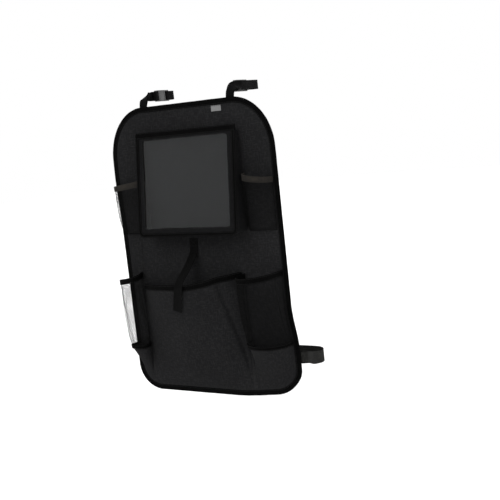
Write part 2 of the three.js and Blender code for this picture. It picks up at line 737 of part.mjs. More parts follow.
function buckleSocket(webbingWidth) {
  const half = webbingWidth / 2 + BUCKLE_RIM;
  const inner = half - BUCKLE_WALL;
  const slotHalf = webbingWidth / 2 + 2 * GAP;
  const hollow = BUCKLE_THICKNESS / 2 - BUCKLE_WALL;
  const end = SOCKET_BAR_Y + BUCKLE_BAR;
  const windowEnd = BUCKLE_WINDOW_START + BUCKLE_WINDOW_LENGTH;
  const over = BUCKLE_THICKNESS;
  const body = toSolid(plate(roundedRectangle(-half, half, 0, end, BUCKLE_CORNER), BUCKLE_THICKNESS));
  const cavity = toSolid(box(-inner, inner, -over, BUCKLE_CAVITY, -hollow, hollow));
  const windows = toSolid(box(-half - over, half + over, BUCKLE_WINDOW_START, windowEnd, -hollow, hollow));
  const slot = toSolid(box(-slotHalf, slotHalf, BUCKLE_CAVITY + BUCKLE_WALL, SOCKET_BAR_Y, -over, over));
  const bar = BUCKLE_BAR_THICKNESS / 2;
  const above = toSolid(box(-slotHalf, slotHalf, SOCKET_BAR_Y - GAP, end + over, bar, over));
  const below = toSolid(box(-slotHalf, slotHalf, SOCKET_BAR_Y - GAP, end + over, -over, -bar));
  return toGeometry(body.subtract(cavity).subtract(windows).subtract(slot).subtract(above).subtract(below));
}

// A plug has a slotted plate, a shoulder, a tongue and two sprung prongs whose
// catches stand in the socket's side windows.
function bucklePlug(webbingWidth) {
  const half = webbingWidth / 2 + BUCKLE_RIM;
  const root = half - BUCKLE_WALL - 3 * GAP;
  const slotHalf = webbingWidth / 2 + 2 * GAP;
  const catchY = BUCKLE_WINDOW_START + GAP;
  const tipX = root - PRONG_WIDTH;
  const plateEnd = PLUG_BAR_Y - BUCKLE_BAR / 2 - BUCKLE_SLOT - BUCKLE_BAR;
  const rightHalf = [
    [half, plateEnd],
    [half, -GAP],
    [root, -GAP],
    [root - GAP, catchY],
    [half - GAP, catchY],
    [half - GAP, catchY + 2 * GAP],
    [root - PRONG_WIDTH / 2, PRONG_LENGTH],
    [tipX - PRONG_WIDTH / 2, PRONG_LENGTH],
    [tipX - PRONG_WIDTH / 2, catchY],
    [tipX, -GAP],
    [TONGUE_HALF_WIDTH, -GAP],
    [TONGUE_HALF_WIDTH, PRONG_LENGTH * 0.6],
    [TONGUE_HALF_WIDTH / 2, PRONG_LENGTH * 0.7],
  ];
  const leftHalf = rightHalf.map(([x, y]) => [-x, y]).reverse();
  const outline = [...rightHalf, ...leftHalf].map(([x, y]) => new THREE.Vector2(x, y));
  const blank = toSolid(plate(new THREE.Shape(outline), PRONG_THICKNESS));
  const slotA = toSolid(box(-slotHalf, slotHalf, PLUG_BAR_Y + BUCKLE_BAR / 2,
    PLUG_BAR_Y + BUCKLE_BAR / 2 + BUCKLE_SLOT, -BUCKLE_THICKNESS, BUCKLE_THICKNESS));
  const slotB = toSolid(box(-slotHalf, slotHalf, PLUG_BAR_Y - BUCKLE_BAR / 2 - BUCKLE_SLOT,
    PLUG_BAR_Y - BUCKLE_BAR / 2, -BUCKLE_THICKNESS, BUCKLE_THICKNESS));
  const shoulderOutline = roundedRectangle(-half, half, -GAP - BUCKLE_SHOULDER, -GAP, BUCKLE_SHOULDER / 3);
  const shoulder = toSolid(plate(shoulderOutline, BUCKLE_THICKNESS));
  return toGeometry(blank.subtract(slotA).subtract(slotB).add(shoulder));
}

// Where the webbing layers that are sewn to the edge tape lie, behind the rear face.
const BEHIND_FIRST = WEBBING / 2;
const BEHIND_SECOND = BEHIND_FIRST + WEBBING + GAP;

// A post loop: the strap goes round the post's place and its plug comes back to
// the socket on the short tab. Both are sewn to the tape of the panel's top edge.
const POST_LOOP_Z = PANEL_HEIGHT / 2 + POST_LOOP_LIFT;

function topStrapRoute(side) {
  const x = POST_LOOP_X;
  const z = POST_LOOP_Z;
  const edge = PANEL_HEIGHT / 2;
  const outer = x + POST_LOOP_RADIUS;
  const inner = x - POST_LOOP_RADIUS;
  const bar = new THREE.Vector3(inner, TOP_MOUTH_Y - PLUG_BAR_Y, z);
  const points = [
    new THREE.Vector3(x, BEHIND_FIRST, edge - SEWN_LENGTH),
    new THREE.Vector3(x, BEHIND_FIRST, edge - SEWN_LENGTH / 2),
    new THREE.Vector3(x, BEHIND_FIRST, edge - 2),
    new THREE.Vector3(x, BEHIND_FIRST + GAP, edge + 3),
    new THREE.Vector3(mix(x, outer, 0.05), BEHIND_FIRST + 4, z - 9),
    new THREE.Vector3(mix(x, outer, 0.3), BEHIND_FIRST + 14, z - 0.5),
    new THREE.Vector3(mix(x, outer, 0.7), BEHIND_FIRST + 27, z + 1),
    new THREE.Vector3(outer, BEHIND_FIRST + 40, z),
    new THREE.Vector3(outer, mix(BEHIND_FIRST + 40, POST_LOOP_REACH, 0.6), z),
  ];
  const turns = [0, 0, 0, 0, 0.05, 0.28, 0.67, 1, 1];
  for (let i = 0; i <= 6; i += 1) {
    const angle = (Math.PI * i) / 6;
    const offsetX = POST_LOOP_RADIUS * Math.cos(angle);
    const offsetY = POST_LOOP_RADIUS * Math.sin(angle);
    points.push(new THREE.Vector3(x + offsetX, POST_LOOP_REACH + offsetY, z));
  }
  const turn = barTurn(bar, new THREE.Vector3(0, -1, 0), new THREE.Vector3(1, 0, 0));
  points.push(new THREE.Vector3(turn[0].x, bar.y + BAR_CLEARANCE, z), ...turn);
  const tailX = 2 * inner - turn[0].x - GAP;
  points.push(new THREE.Vector3(tailX, bar.y + BAR_CLEARANCE, z));
  points.push(new THREE.Vector3(tailX, POST_LOOP_REACH, z));
  points.forEach((p) => p.setX(side * p.x));
  while (turns.length < points.length) turns.push(1);
  return webbing(points, turns, TOP_WEBBING_WIDTH, side);
}

function topTabRoute(side) {
  const x = POST_LOOP_X;
  const z = POST_LOOP_Z;
  const edge = PANEL_HEIGHT / 2;
  const inner = x - POST_LOOP_RADIUS;
  const bar = new THREE.Vector3(inner, TOP_MOUTH_Y - SOCKET_BAR_Y - BUCKLE_BAR / 2, z);
  const turn = barTurn(bar, new THREE.Vector3(0, 1, 0), new THREE.Vector3(1, 0, 0));
  const start = turn[0];
  const end = turn[turn.length - 1];
  const points = [
    new THREE.Vector3(x, BEHIND_SECOND, edge - SEWN_LENGTH),
    new THREE.Vector3(x, BEHIND_SECOND, edge - SEWN_LENGTH / 2),
    new THREE.Vector3(x, BEHIND_SECOND, edge - 3),
    new THREE.Vector3(x, BEHIND_SECOND + GAP, edge + 2),
    new THREE.Vector3(mix(x, start.x, 0.08), BEHIND_SECOND + 3.5, z - 14),
    new THREE.Vector3(mix(x, start.x, 0.42), mix(BEHIND_SECOND, bar.y, 0.28), z - 8),
    new THREE.Vector3(mix(x, start.x, 0.85), mix(BEHIND_SECOND, bar.y, 0.5), z - 2),
    new THREE.Vector3(start.x, mix(BEHIND_SECOND, bar.y, 0.72), z),
    ...turn,
    new THREE.Vector3(mix(end.x, start.x, 0.1), mix(BEHIND_SECOND, bar.y, 0.88), z),
    new THREE.Vector3(mix(end.x, start.x, 0.55), mix(BEHIND_SECOND, bar.y, 0.77), z),
  ];
  points.forEach((p) => p.setX(side * p.x));
  const turns = [0, 0, 0, 0, 0.02, 0.25, 0.7, 1];
  while (turns.length < points.length) turns.push(1);
  return webbing(points, turns, TOP_WEBBING_WIDTH, side);
}

// The lower belt leaves the panel's side edges, drops a little as it goes back
// and is joined behind. Its webbing stands upright all the way.
function beltRoute(side, barX, tailLength) {
  const edge = PANEL_WIDTH / 2;
  const low = BELT_Z - BELT_DROP;
  const corner = BELT_SIDE_X - BELT_CORNER;
  const bar = new THREE.Vector3(barX, BELT_REACH, low);
  const turn = barTurn(bar, new THREE.Vector3(-side, 0, 0), new THREE.Vector3(0, -1, 0));
  const start = turn[0];
  const end = turn[turn.length - 1];
  const points = [
    new THREE.Vector3(side * (edge - SEWN_LENGTH), BEHIND_FIRST, BELT_Z),
    new THREE.Vector3(side * (edge - SEWN_LENGTH / 2), BEHIND_FIRST, BELT_Z),
    new THREE.Vector3(side * (edge - 2), BEHIND_FIRST, BELT_Z),
    new THREE.Vector3(side * (edge + 3), BEHIND_FIRST + GAP, BELT_Z),
    new THREE.Vector3(side * (BELT_SIDE_X - 2), BEHIND_FIRST + 7, BELT_Z - 1),
    new THREE.Vector3(side * BELT_SIDE_X, BEHIND_FIRST + 22, mix(BELT_Z, low, 0.2)),
    new THREE.Vector3(side * BELT_SIDE_X, mix(BEHIND_FIRST, start.y, 0.5), mix(BELT_Z, low, 0.7)),
  ];
  for (let i = 0; i <= 4; i += 1) {
    const angle = (Math.PI * i) / 8;
    const offsetX = BELT_CORNER * Math.cos(angle);
    const offsetY = BELT_CORNER * Math.sin(angle);
    points.push(new THREE.Vector3(side * (corner + offsetX), start.y - BELT_CORNER + offsetY, low));
  }
  points.push(new THREE.Vector3(mix(side * corner, start.x, 0.5), start.y, low));
  const layerY = mix(start.y, end.y, 0.32);
  points.push(...turn);
  points.push(new THREE.Vector3(barX + side * BAR_CLEARANCE, end.y, low));
  points.push(new THREE.Vector3(barX + side * 2 * BAR_CLEARANCE, layerY, low));
  points.push(new THREE.Vector3(barX + side * tailLength, layerY, low));
  return webbing(points, points.map(() => 1), BELT_WIDTH);
}

// Depth of the wide pocket's front at an x, measured from the rear face.
function wideFrontAt(x, z) {
  return wideDepth((x - WIDE_LEFT) / (WIDE_RIGHT - WIDE_LEFT), z);
}

// Where the closure strap's end lies on the wide pocket's front.
function closureWall() {
  const width = CLOSURE_WIDTH - 2;
  const point = (across, up) => {
    const x = CLOSURE_END_X + (across - 0.5) * width;
    const z = CLOSURE_END + 2 + up * PATCH_HEIGHT;
    return new THREE.Vector3(x, -wideFrontAt(CLOSURE_END_X, z), z);
  };
  return { width, height: PATCH_HEIGHT, point };
}

const LOOP_PATCH_REAR = CLOTH / 2 + 2 * GAP;
const HOOK_PATCH_REAR = LOOP_PATCH_REAR + PATCH + GAP;
const CLOSURE_MIDDLE = HOOK_PATCH_REAR + PATCH + 2 * GAP + WEBBING / 2;

function closurePatch(rearOffset) {
  const wall = closureWall();
  const patch = new THREE.BoxGeometry(wall.width, wall.height, PATCH, 1, 4, 1);
  return drape(patch.translate(wall.width / 2, wall.height / 2, rearOffset + PATCH / 2), wall);
}

function closureStrap() {
  const share = (CLOSURE_END_X - WIDE_LEFT) / (WIDE_RIGHT - WIDE_LEFT);
  const mouthZ = wideMouthZ(share);
  const mouthDepth = wideFrontAt(CLOSURE_END_X, mouthZ);
  const onPanel = PANEL_THICKNESS + 2 * GAP + WEBBING / 2;
  const bridge = (part, depth, z) => new THREE.Vector3(mix(CLOSURE_TOP_X, CLOSURE_END_X, part), -depth, z);
  const points = [
    bridge(0, onPanel, CLOSURE_TOP),
    bridge(0.05, onPanel, CLOSURE_TOP / 2),
    bridge(0.15, onPanel + 1, CLOSURE_TOP / 2 - 14),
    bridge(0.35, mix(onPanel, mouthDepth, 0.22), mouthZ + 50),
    bridge(0.6, mix(onPanel, mouthDepth, 0.62), mouthZ + 27),
    bridge(0.85, mouthDepth - 2, mouthZ + 9),
    bridge(0.95, mouthDepth + CLOSURE_MIDDLE, mouthZ - 2),
  ];
  for (let i = 1; i <= 4; i += 1) {
    const z = mix(mouthZ - 2, CLOSURE_END, i / 4);
    points.push(bridge(1, wideFrontAt(CLOSURE_END_X, z) + CLOSURE_MIDDLE, z));
  }
  return webbing(points, points.map(() => 0), CLOSURE_WIDTH);
}

function label() {
  const top = PANEL_HEIGHT / 2 - TAPE_WIDTH - SEAM_MARGIN;
  const half = LABEL_WIDTH / 2;
  const outline = roundedRectangle(LABEL_X - half, LABEL_X + half, top - LABEL_HEIGHT, top, LABEL_THICKNESS);
  return slab(outline, PANEL_THICKNESS + GAP, PANEL_THICKNESS + GAP + LABEL_THICKNESS);
}

// Finishes
const finish = (color, roughness, metalness = 0) => ({ color, roughness, metalness });
const CANVAS = finish(0x222222, 0.9);
const TAPE_BLACK = finish(0x121212, 0.8);
const NET_BLACK = finish(0x111111, 0.85);
const BAND_GREY = finish(0x35302b, 0.9);
const WEBBING_BLACK = finish(0x101010, 0.75);
const BELT_GREY = finish(0x2e2e2c, 0.8);
const PATCH_BLACK = finish(0x0d0d0d, 0.95);
const BUCKLE_BLACK = finish(0x0b0b0b, 0.4);
const CLEAR_FILM = { ...finish(0xdfe4e6, 0.12), transparent: true, opacity: 0.25 };
const LABEL_GREY = finish(0x919191, 0.6);

function piece(name, geometry, look) {
  const shaded = geometry.index ? geometry.toNonIndexed() : geometry;
  shaded.computeVertexNormals();
  const mesh = new THREE.Mesh(shaded, new THREE.MeshStandardMaterial(look));
  mesh.name = name;
  return mesh;
}

// Sets a buckle half at its place. Its width stands upright, and the plug's way
// in points along the direction given.
function placeBuckle(mesh, x, y, z, wayIn) {
  const width = new THREE.Vector3(0, 0, 1);
  const basis = new THREE.Matrix4().makeBasis(width, wayIn, width.clone().cross(wayIn));
  mesh.quaternion.setFromRotationMatrix(basis);
  mesh.position.set(x, y, z);
  return mesh;
}

function panelGroup() {
  const group = new THREE.Group();
  group.add(piece('back_panel', backPanel(), CANVAS));
  group.add(piece('edge_binding', edgeBinding(), TAPE_BLACK));
  group.add(piece('label', label(), LABEL_GREY));
  return group;
}

function windowPocketGroup() {
  const group = new THREE.Group();
  const wall = windowWall();
  const grip = MOUTH_TAPE_WIDTH - TAPE - GAP;
  group.add(piece('window_pocket_front', windowPocketFront(wall), CANVAS));
  group.add(piece('window_pocket_gusset', windowPocketGusset(), CANVAS));
  group.add(piece('window_film', windowFilm(wall), CLEAR_FILM));
  group.add(piece('window_frame_tape', windowFrameTape(wall), TAPE_BLACK));
  const mouth = mouthTape(wall, [0, wall.width], FILM_REAR, CLOTH / 2, grip);
  group.add(piece('window_mouth_tape', mouth, TAPE_BLACK));
  return group;
}

function netGroup(name, wall, bandLook) {
  const group = new THREE.Group();
  group.add(piece(`${name}_net`, drape(netCut(wall), wall), NET_BLACK));
  const band = mouthTape(wall, netLattice(wall).along, -CLOTH / 2, CLOTH / 2, MOUTH_GRIP);
  group.add(piece(`${name}_band`, band, bandLook));
  return group;
}

function lowerPocketGroup() {
  const group = new THREE.Group();
  const leftNet = leftNetWall();
  const rightNet = rightNetWall();
  const grip = MOUTH_TAPE_WIDTH - TAPE - GAP;
  group.add(netGroup('lower_left', leftNet, TAPE_BLACK));
  group.add(netGroup('lower_right', rightNet, TAPE_BLACK));
  group.add(piece('lower_left_foot_tape', netFootTape(leftNet), TAPE_BLACK));
  group.add(piece('lower_right_foot_tape', netFootTape(rightNet), TAPE_BLACK));
  group.add(piece('wide_pocket', widePocket(leftNet, rightNet), CANVAS));
  const wide = wideWall();
  const mouth = mouthTape(wide, evenStations(wide.width, WIDE_STEPS), -CLOTH / 2, CLOTH / 2, grip);
  group.add(piece('wide_pocket_mouth_tape', mouth, TAPE_BLACK));
  group.add(piece('closure_strap', closureStrap(), WEBBING_BLACK));
  group.add(piece('closure_hook_patch', closurePatch(HOOK_PATCH_REAR), PATCH_BLACK));
  group.add(piece('closure_loop_patch', closurePatch(LOOP_PATCH_REAR), PATCH_BLACK));
  return group;
}

function postLoopGroup(name, side) {
  const group = new THREE.Group();
  const x = side * (POST_LOOP_X - POST_LOOP_RADIUS);
  const wayIn = new THREE.Vector3(0, -1, 0);
  const socket = piece(`${name}_socket`, buckleSocket(TOP_WEBBING_WIDTH), BUCKLE_BLACK);
  const plug = piece(`${name}_plug`, bucklePlug(TOP_WEBBING_WIDTH), BUCKLE_BLACK);
  group.add(piece(`${name}_strap`, topStrapRoute(side), WEBBING_BLACK));
  group.add(piece(`${name}_tab`, topTabRoute(side), WEBBING_BLACK));
  group.add(placeBuckle(socket, x, TOP_MOUTH_Y, POST_LOOP_Z, wayIn));
  group.add(placeBuckle(plug, x, TOP_MOUTH_Y, POST_LOOP_Z, wayIn));
  return group;
}

function beltGroup() {
  const group = new THREE.Group();
  const wayIn = new THREE.Vector3(-1, 0, 0);
  const low = BELT_Z - BELT_DROP;
  const socketBarX = BELT_BUCKLE_X - SOCKET_BAR_Y - BUCKLE_BAR / 2;
  const socket = piece('belt_socket', buckleSocket(BELT_WIDTH), BUCKLE_BLACK);
  const plug = piece('belt_plug', bucklePlug(BELT_WIDTH), BUCKLE_BLACK);
  group.add(piece('belt_left', beltRoute(-1, socketBarX, BELT_LEFT_TAIL), BELT_GREY));
  group.add(piece('belt_right', beltRoute(1, BELT_BUCKLE_X - PLUG_BAR_Y, BELT_RIGHT_TAIL), BELT_GREY));
  group.add(placeBuckle(socket, BELT_BUCKLE_X, BELT_REACH, low, wayIn));
  group.add(placeBuckle(plug, BELT_BUCKLE_X, BELT_REACH, low, wayIn));
  return group;
}

const organizer = new THREE.Group();
organizer.add(panelGroup());
organizer.add(windowPocketGroup());
organizer.add(netGroup('upper_left', smallNetWall(-1), BAND_GREY));
organizer.add(netGroup('upper_right', smallNetWall(1), BAND_GREY));
organizer.add(lowerPocketGroup());
organizer.add(postLoopGroup('top_left', -1));
organizer.add(postLoopGroup('top_right', 1));
organizer.add(beltGroup());

export default organizer;
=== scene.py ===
import math

import bmesh
import bpy
import numpy as np
from mathutils import Matrix, Vector, noise


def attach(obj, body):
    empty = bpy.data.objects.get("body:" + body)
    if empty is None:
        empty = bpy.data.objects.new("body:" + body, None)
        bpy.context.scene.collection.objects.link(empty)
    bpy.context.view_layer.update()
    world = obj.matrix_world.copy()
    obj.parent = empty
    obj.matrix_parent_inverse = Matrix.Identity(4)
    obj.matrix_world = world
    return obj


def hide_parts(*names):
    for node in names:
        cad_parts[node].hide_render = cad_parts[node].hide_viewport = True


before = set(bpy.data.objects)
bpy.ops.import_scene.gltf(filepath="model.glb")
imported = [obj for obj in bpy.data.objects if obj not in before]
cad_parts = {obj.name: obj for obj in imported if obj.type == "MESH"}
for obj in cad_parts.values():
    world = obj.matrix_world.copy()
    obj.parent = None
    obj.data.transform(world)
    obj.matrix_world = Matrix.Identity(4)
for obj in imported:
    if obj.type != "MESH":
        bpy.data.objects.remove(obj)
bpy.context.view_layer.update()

# The car seat back organizer's own frame: metres, +Z up, rear face at y = 0 and
# pockets towards -Y. Sizes below are in millimetres, as in the part's source.
MM = 0.001

# Panel
PANEL_WIDTH = 430
PANEL_HEIGHT = 660
PANEL_THICKNESS = 3
SHOULDER_WIDTH = 95
SHOULDER_DROP = 110
CORNER_RADIUS = 60

# Cloth, tape and clearances
CLOTH = 1.2
TAPE = 0.8
TAPE_WIDTH = 11
MOUTH_TAPE_WIDTH = 13
GAP = 0.3
SEAM_MARGIN = 2.2
EDGE_RECESS = TAPE + 2 * GAP
ON_PANEL = PANEL_THICKNESS + GAP + CLOTH / 2
POCKET_EDGE_X = PANEL_WIDTH / 2 - TAPE_WIDTH - SEAM_MARGIN

# Window pocket
WINDOW_WIDTH = 263
WINDOW_TOP = 274
WINDOW_FOOT = 42
WINDOW_TOP_DEPTH = 18
WINDOW_FOOT_DEPTH = 50
WINDOW_POCKET_CORNER = 14
WINDOW_FRAME_SIDE = 19
WINDOW_FRAME_FOOT = 19
WINDOW_FRAME_TOP = 17
WINDOW_CORNER = 5
WINDOW_OVERLAP = 6
WINDOW_FILM = 0.8
FILM_REAR = -(CLOTH / 2 + GAP + WINDOW_FILM)
FRAME_TAPE_WIDTH = 8

# Nets: a mouth has the heights of its left and right ends, and the swell is how far a net
# bulges sideways past its seams
MOUTH_GRIP = 3
UPPER_NET_FOOT = 44
UPPER_LEFT_MOUTH = (158, 169)
UPPER_RIGHT_MOUTH = (169, 158)
UPPER_NET_DEPTH = 32
UPPER_LEFT_SWELL = 20
LEFT_SEAM_X = -171
RIGHT_SEAM_X = 104
SEAM_WIDTH = 7
LEFT_NET_FOOT = -219
LEFT_NET_MOUTH = (-60, -46)
LEFT_NET_DEPTH = 50
LEFT_NET_SWELL = 26
RIGHT_NET_FOOT = -204
RIGHT_NET_MOUTH = (-50, -42)
RIGHT_NET_DEPTH = 76
RIGHT_NET_SWELL = 4
SIDE_NET_FOOT_BOW = 0.72
NET_FOOT_TAPE_WIDTH = 9
FOOT_TAPE_CROWN = 0.15
NET_FOOT_SAG = 1.5
MESH_PITCH = 3.8
MESH_THREAD = 0.6
# Upright folds in the nets: how wide each is, how deep on each net, how far up from the foot
# and down from the mouth they fade, and how far in from the seams
NET_FOLD_WIDTH = 21
UPPER_NET_FOLD = 0.6
LEFT_NET_FOLD = 2.4
RIGHT_NET_FOLD = 1.4
NET_FOLD_FADE = 30
NET_FOLD_SEAM = 12

# Wide pocket
WIDE_DEPTH = 60
WIDE_LEFT_MOUTH = -76
WIDE_RIGHT_MOUTH = -50
# How far the open mouth stands above the line between its seams, and how far its right end does
WIDE_MOUTH_LIFT = 10.5
WIDE_END_LIFT = 4
MOUTH_LIFT_END = 0.92
END_LIFT_START = 0.75
WIDE_LEAN = 1.25
WIDE_FLATNESS = 2.6
WIDE_ROUNDING = 0.8
WIDE_BILLOW = 0.8
WIDE_LEFT = LEFT_SEAM_X + SEAM_WIDTH / 2
WIDE_RIGHT = RIGHT_SEAM_X - SEAM_WIDTH / 2
WIDE_CLOTH_HEIGHT = 230
# The long crease that the right side net pulls into the pocket: a swell that turns over, and
# a groove along its line
CREASE_TOP = (61, -69)
CREASE_FOOT = (106, -315)
CREASE_SWELL = 2.0
CREASE_SWELL_WIDTH = 14
CREASE_TURN = 2.5
CREASE_GROOVE = 4.0
CREASE_GROOVE_WIDTH = 4.5

# Closure strap
CLOSURE_WIDTH = 22
CLOSURE_TOP_X = -17
CLOSURE_END_X = -26
CLOSURE_TOP = 30
CLOSURE_END = -126
# How far the strap's lower end lies out of line with its bend
CLOSURE_SLANT = 19
PATCH_HEIGHT = 35
PATCH = 1

# Webbing, post loops and belt
WEBBING = 1.2
TOP_WEBBING_WIDTH = 20
BELT_WIDTH = 28
POST_LOOP_X = 116
POST_LOOP_REACH = 105
POST_LOOP_Z = PANEL_HEIGHT / 2 + 24
POST_LOOP_RADIUS = 9
TOP_MOUTH_Y = 67
SEWN_LENGTH = 10
BELT_Z = -240
BELT_DROP = 20
BELT_REACH = 132
BELT_SIDE_X = 226
BELT_CORNER = 30
BELT_BUCKLE_X = -40
BELT_LEFT_TAIL = 30
BELT_RIGHT_TAIL = 60
BEHIND_FIRST = WEBBING / 2
BEHIND_SECOND = BEHIND_FIRST + WEBBING + GAP
# Points of a strap between two that are given
POINTS_PER_SPAN = 6

# Buckle sizes that the webbing turns round, and its bars' distances from the joint
BUCKLE_BAR = 3
BUCKLE_BAR_THICKNESS = 4
BUCKLE_SLOT = 4.6
BUCKLE_WALL = 1.7
SOCKET_BODY = 18
PLUG_BODY = 4
SOCKET_BAR_Y = SOCKET_BODY + BUCKLE_WALL + BUCKLE_SLOT
PLUG_BAR_Y = -(GAP + PLUG_BODY + BUCKLE_WALL + BUCKLE_SLOT + BUCKLE_BAR / 2)
BAR_CLEARANCE = BUCKLE_BAR / 2 + BUCKLE_SLOT + BUCKLE_BAR + 2

# Upper end of the stitched line from the window pocket down to the left seam
LEFT_PANEL_SEAM = -163

# Label
LABEL_X = 81
LABEL_WIDTH = 25
LABEL_HEIGHT = 12
LABEL_THICKNESS = 0.6

# How far the belt draws the panel's lower right corner out, back and up
CORNER_PULL_X = 5.5
CORNER_PULL_Y = 9
CORNER_LIFT = 9
# Where the pull and the lift start in x and z, and how far on they are full
PULL_START, PULL_REACH = (40, -120), (170, 105)
LIFT_START, LIFT_REACH = (60, -220), (150, 100)
# The pull to the side eases near the foot, and all of it fades behind the panel
PULL_EASE, PULL_EASE_Z, PULL_EASE_REACH = 0.7, -265, 60
PULL_BEHIND_Y, PULL_BEHIND_REACH = 2, 60
# How far the panel's upper left edge spreads outwards, and where
SHOULDER_SPREAD = 3.5
SPREAD_X, SPREAD_REACH = -120, 90
SPREAD_Z, SPREAD_HEIGHT = 170, 75

# Stitches: from one to the next, and the length and thickness of each
STITCH_PITCH = 4.6
STITCH_LENGTH = 3.4
STITCH_WIDTH = 0.8
STITCH_RISE = 0.1
PANEL_STITCH_RISE = 0.6
# How far a row stands in from the edge of each tape, and from the middle of a double seam
EDGE_ROW_INSET = 1.8
MOUTH_ROW_INSET = 1.6
NARROW_ROW_INSET = 1.4
HEM_ROW_INSET = 2
SEAM_ROW_OFFSET = 1.5

# The photograph's camera: lens and sensor in millimetres, place in metres, and its right and
# up directions
LENS = 64.70
SENSOR_WIDTH = 36
CAMERA_PLACE = (1.14338, -1.63603, 0.28514)
CAMERA_RIGHT = (0.852634279, 0.511817673, -0.105154437)
CAMERA_UP = (0.013647869, 0.179365626, 0.98368781)

# Studio, in metres: the white floor's height and width, and its glow where it is seen
FLOOR_Z = -0.44
FLOOR_WIDTH = 14
FLOOR_GLOW = 0.3


# ---- Camera and studio

def add_object(name, data):
    made = bpy.data.objects.new(name, data)
    bpy.context.scene.collection.objects.link(made)
    return made


def make_camera():
    data = bpy.data.cameras.new("camera")
    data.lens = LENS
    data.sensor_width = SENSOR_WIDTH
    camera = add_object("camera", data)
    right, up = Vector(CAMERA_RIGHT), Vector(CAMERA_UP)
    turn = Matrix((right, up, right.cross(up))).transposed().to_4x4()
    camera.matrix_world = Matrix.Translation(CAMERA_PLACE) @ turn
    bpy.context.scene.camera = camera


def soft_light(name, place, spread, strength):
    """A far lamp seen from the place given, so wide that its shadows are soft."""
    data = bpy.data.lights.new(name, "SUN")
    data.angle = math.radians(spread)
    data.energy = strength
    light = add_object(name, data)
    light.location = place
    light.rotation_mode = "QUATERNION"
    light.rotation_quaternion = Vector(place).to_track_quat("Z", "Y")


def linear(code):
    """An sRGB hex colour as linear red, green, blue and alpha."""
    parts = [int(code[i:i + 2], 16) / 255 for i in (0, 2, 4)]
    return [c / 12.92 if c <= 0.04045 else ((c + 0.055) / 1.055) ** 2.4 for c in parts] + [1.0]


def node(tree, kind, values=None, links=None, **settings):
    """Adds a node with its settings, its inputs' values and the links into it.

    A link comes from an output, or from the first output of a node.
    """
    made = tree.nodes.new(kind)
    for name, value in settings.items():
        setattr(made, name, value)
    for name, value in (values or {}).items():
        made.inputs[name].default_value = value
    for name, source in (links or {}).items():
        output = source.outputs[0] if isinstance(source, bpy.types.Node) else source
        tree.links.new(output, made.inputs[name])
    return made


def new_finish(name):
    """A new material, with its tree and its shader."""
    paint = bpy.data.materials.new(name)
    paint.use_nodes = True
    return paint, paint.node_tree, paint.node_tree.nodes["Principled BSDF"]


def seen_mask(tree):
    """1 for what the camera sees straight, in a reflection or through the film, else 0."""
    rays = node(tree, "ShaderNodeLightPath")
    seen = node(tree, "ShaderNodeMath", operation="MAXIMUM",
                links={0: rays.outputs["Is Camera Ray"], 1: rays.outputs["Is Glossy Ray"]})
    return node(tree, "ShaderNodeMath", operation="MAXIMUM",
                links={0: seen, 1: rays.outputs["Is Transmission Ray"]})


def make_world():
    """White all round where it is seen, and a little dimmer as a light."""
    world = bpy.data.worlds.new("studio")
    bpy.context.scene.world = world
    world.use_nodes = True
    tree = world.node_tree
    tree.nodes.clear()
    level = node(tree, "ShaderNodeMapRange", {"To Min": 0.75, "To Max": 1.0},
                 {"Value": seen_mask(tree)})
    light = node(tree, "ShaderNodeBackground", {"Color": (1, 1, 1, 1)}, {"Strength": level})
    node(tree, "ShaderNodeOutputWorld", links={"Surface": light})


def make_floor():
    """A near-white floor that takes a shadow, with a glow that hides its far edge."""
    bpy.ops.mesh.primitive_plane_add(size=FLOOR_WIDTH, location=(0, 0, FLOOR_Z))
    floor = bpy.context.object
    floor.name = "floor"
    paint, tree, shader = new_finish("studio_floor")
    shader.inputs["Base Color"].default_value = linear("f4f4f4")
    shader.inputs["Roughness"].default_value = 0.9
    shader.inputs["Emission Color"].default_value = (1, 1, 1, 1)
    glow = node(tree, "ShaderNodeMath", {1: FLOOR_GLOW}, {0: seen_mask(tree)},
                operation="MULTIPLY")
    tree.links.new(glow.outputs[0], shader.inputs["Emission Strength"])
    floor.data.materials.append(paint)


make_camera()
make_world()
make_floor()
soft_light("key", (-0.2, -1.6, 1.3), 40, 1.1)
soft_light("fill", (2.2, -1.2, 0.9), 50, 0.6)
soft_light("back", (0.8, 1.8, 1.0), 60, 0.7)
bpy.context.scene.view_settings.view_transform = "Standard"


# ---- Finishes

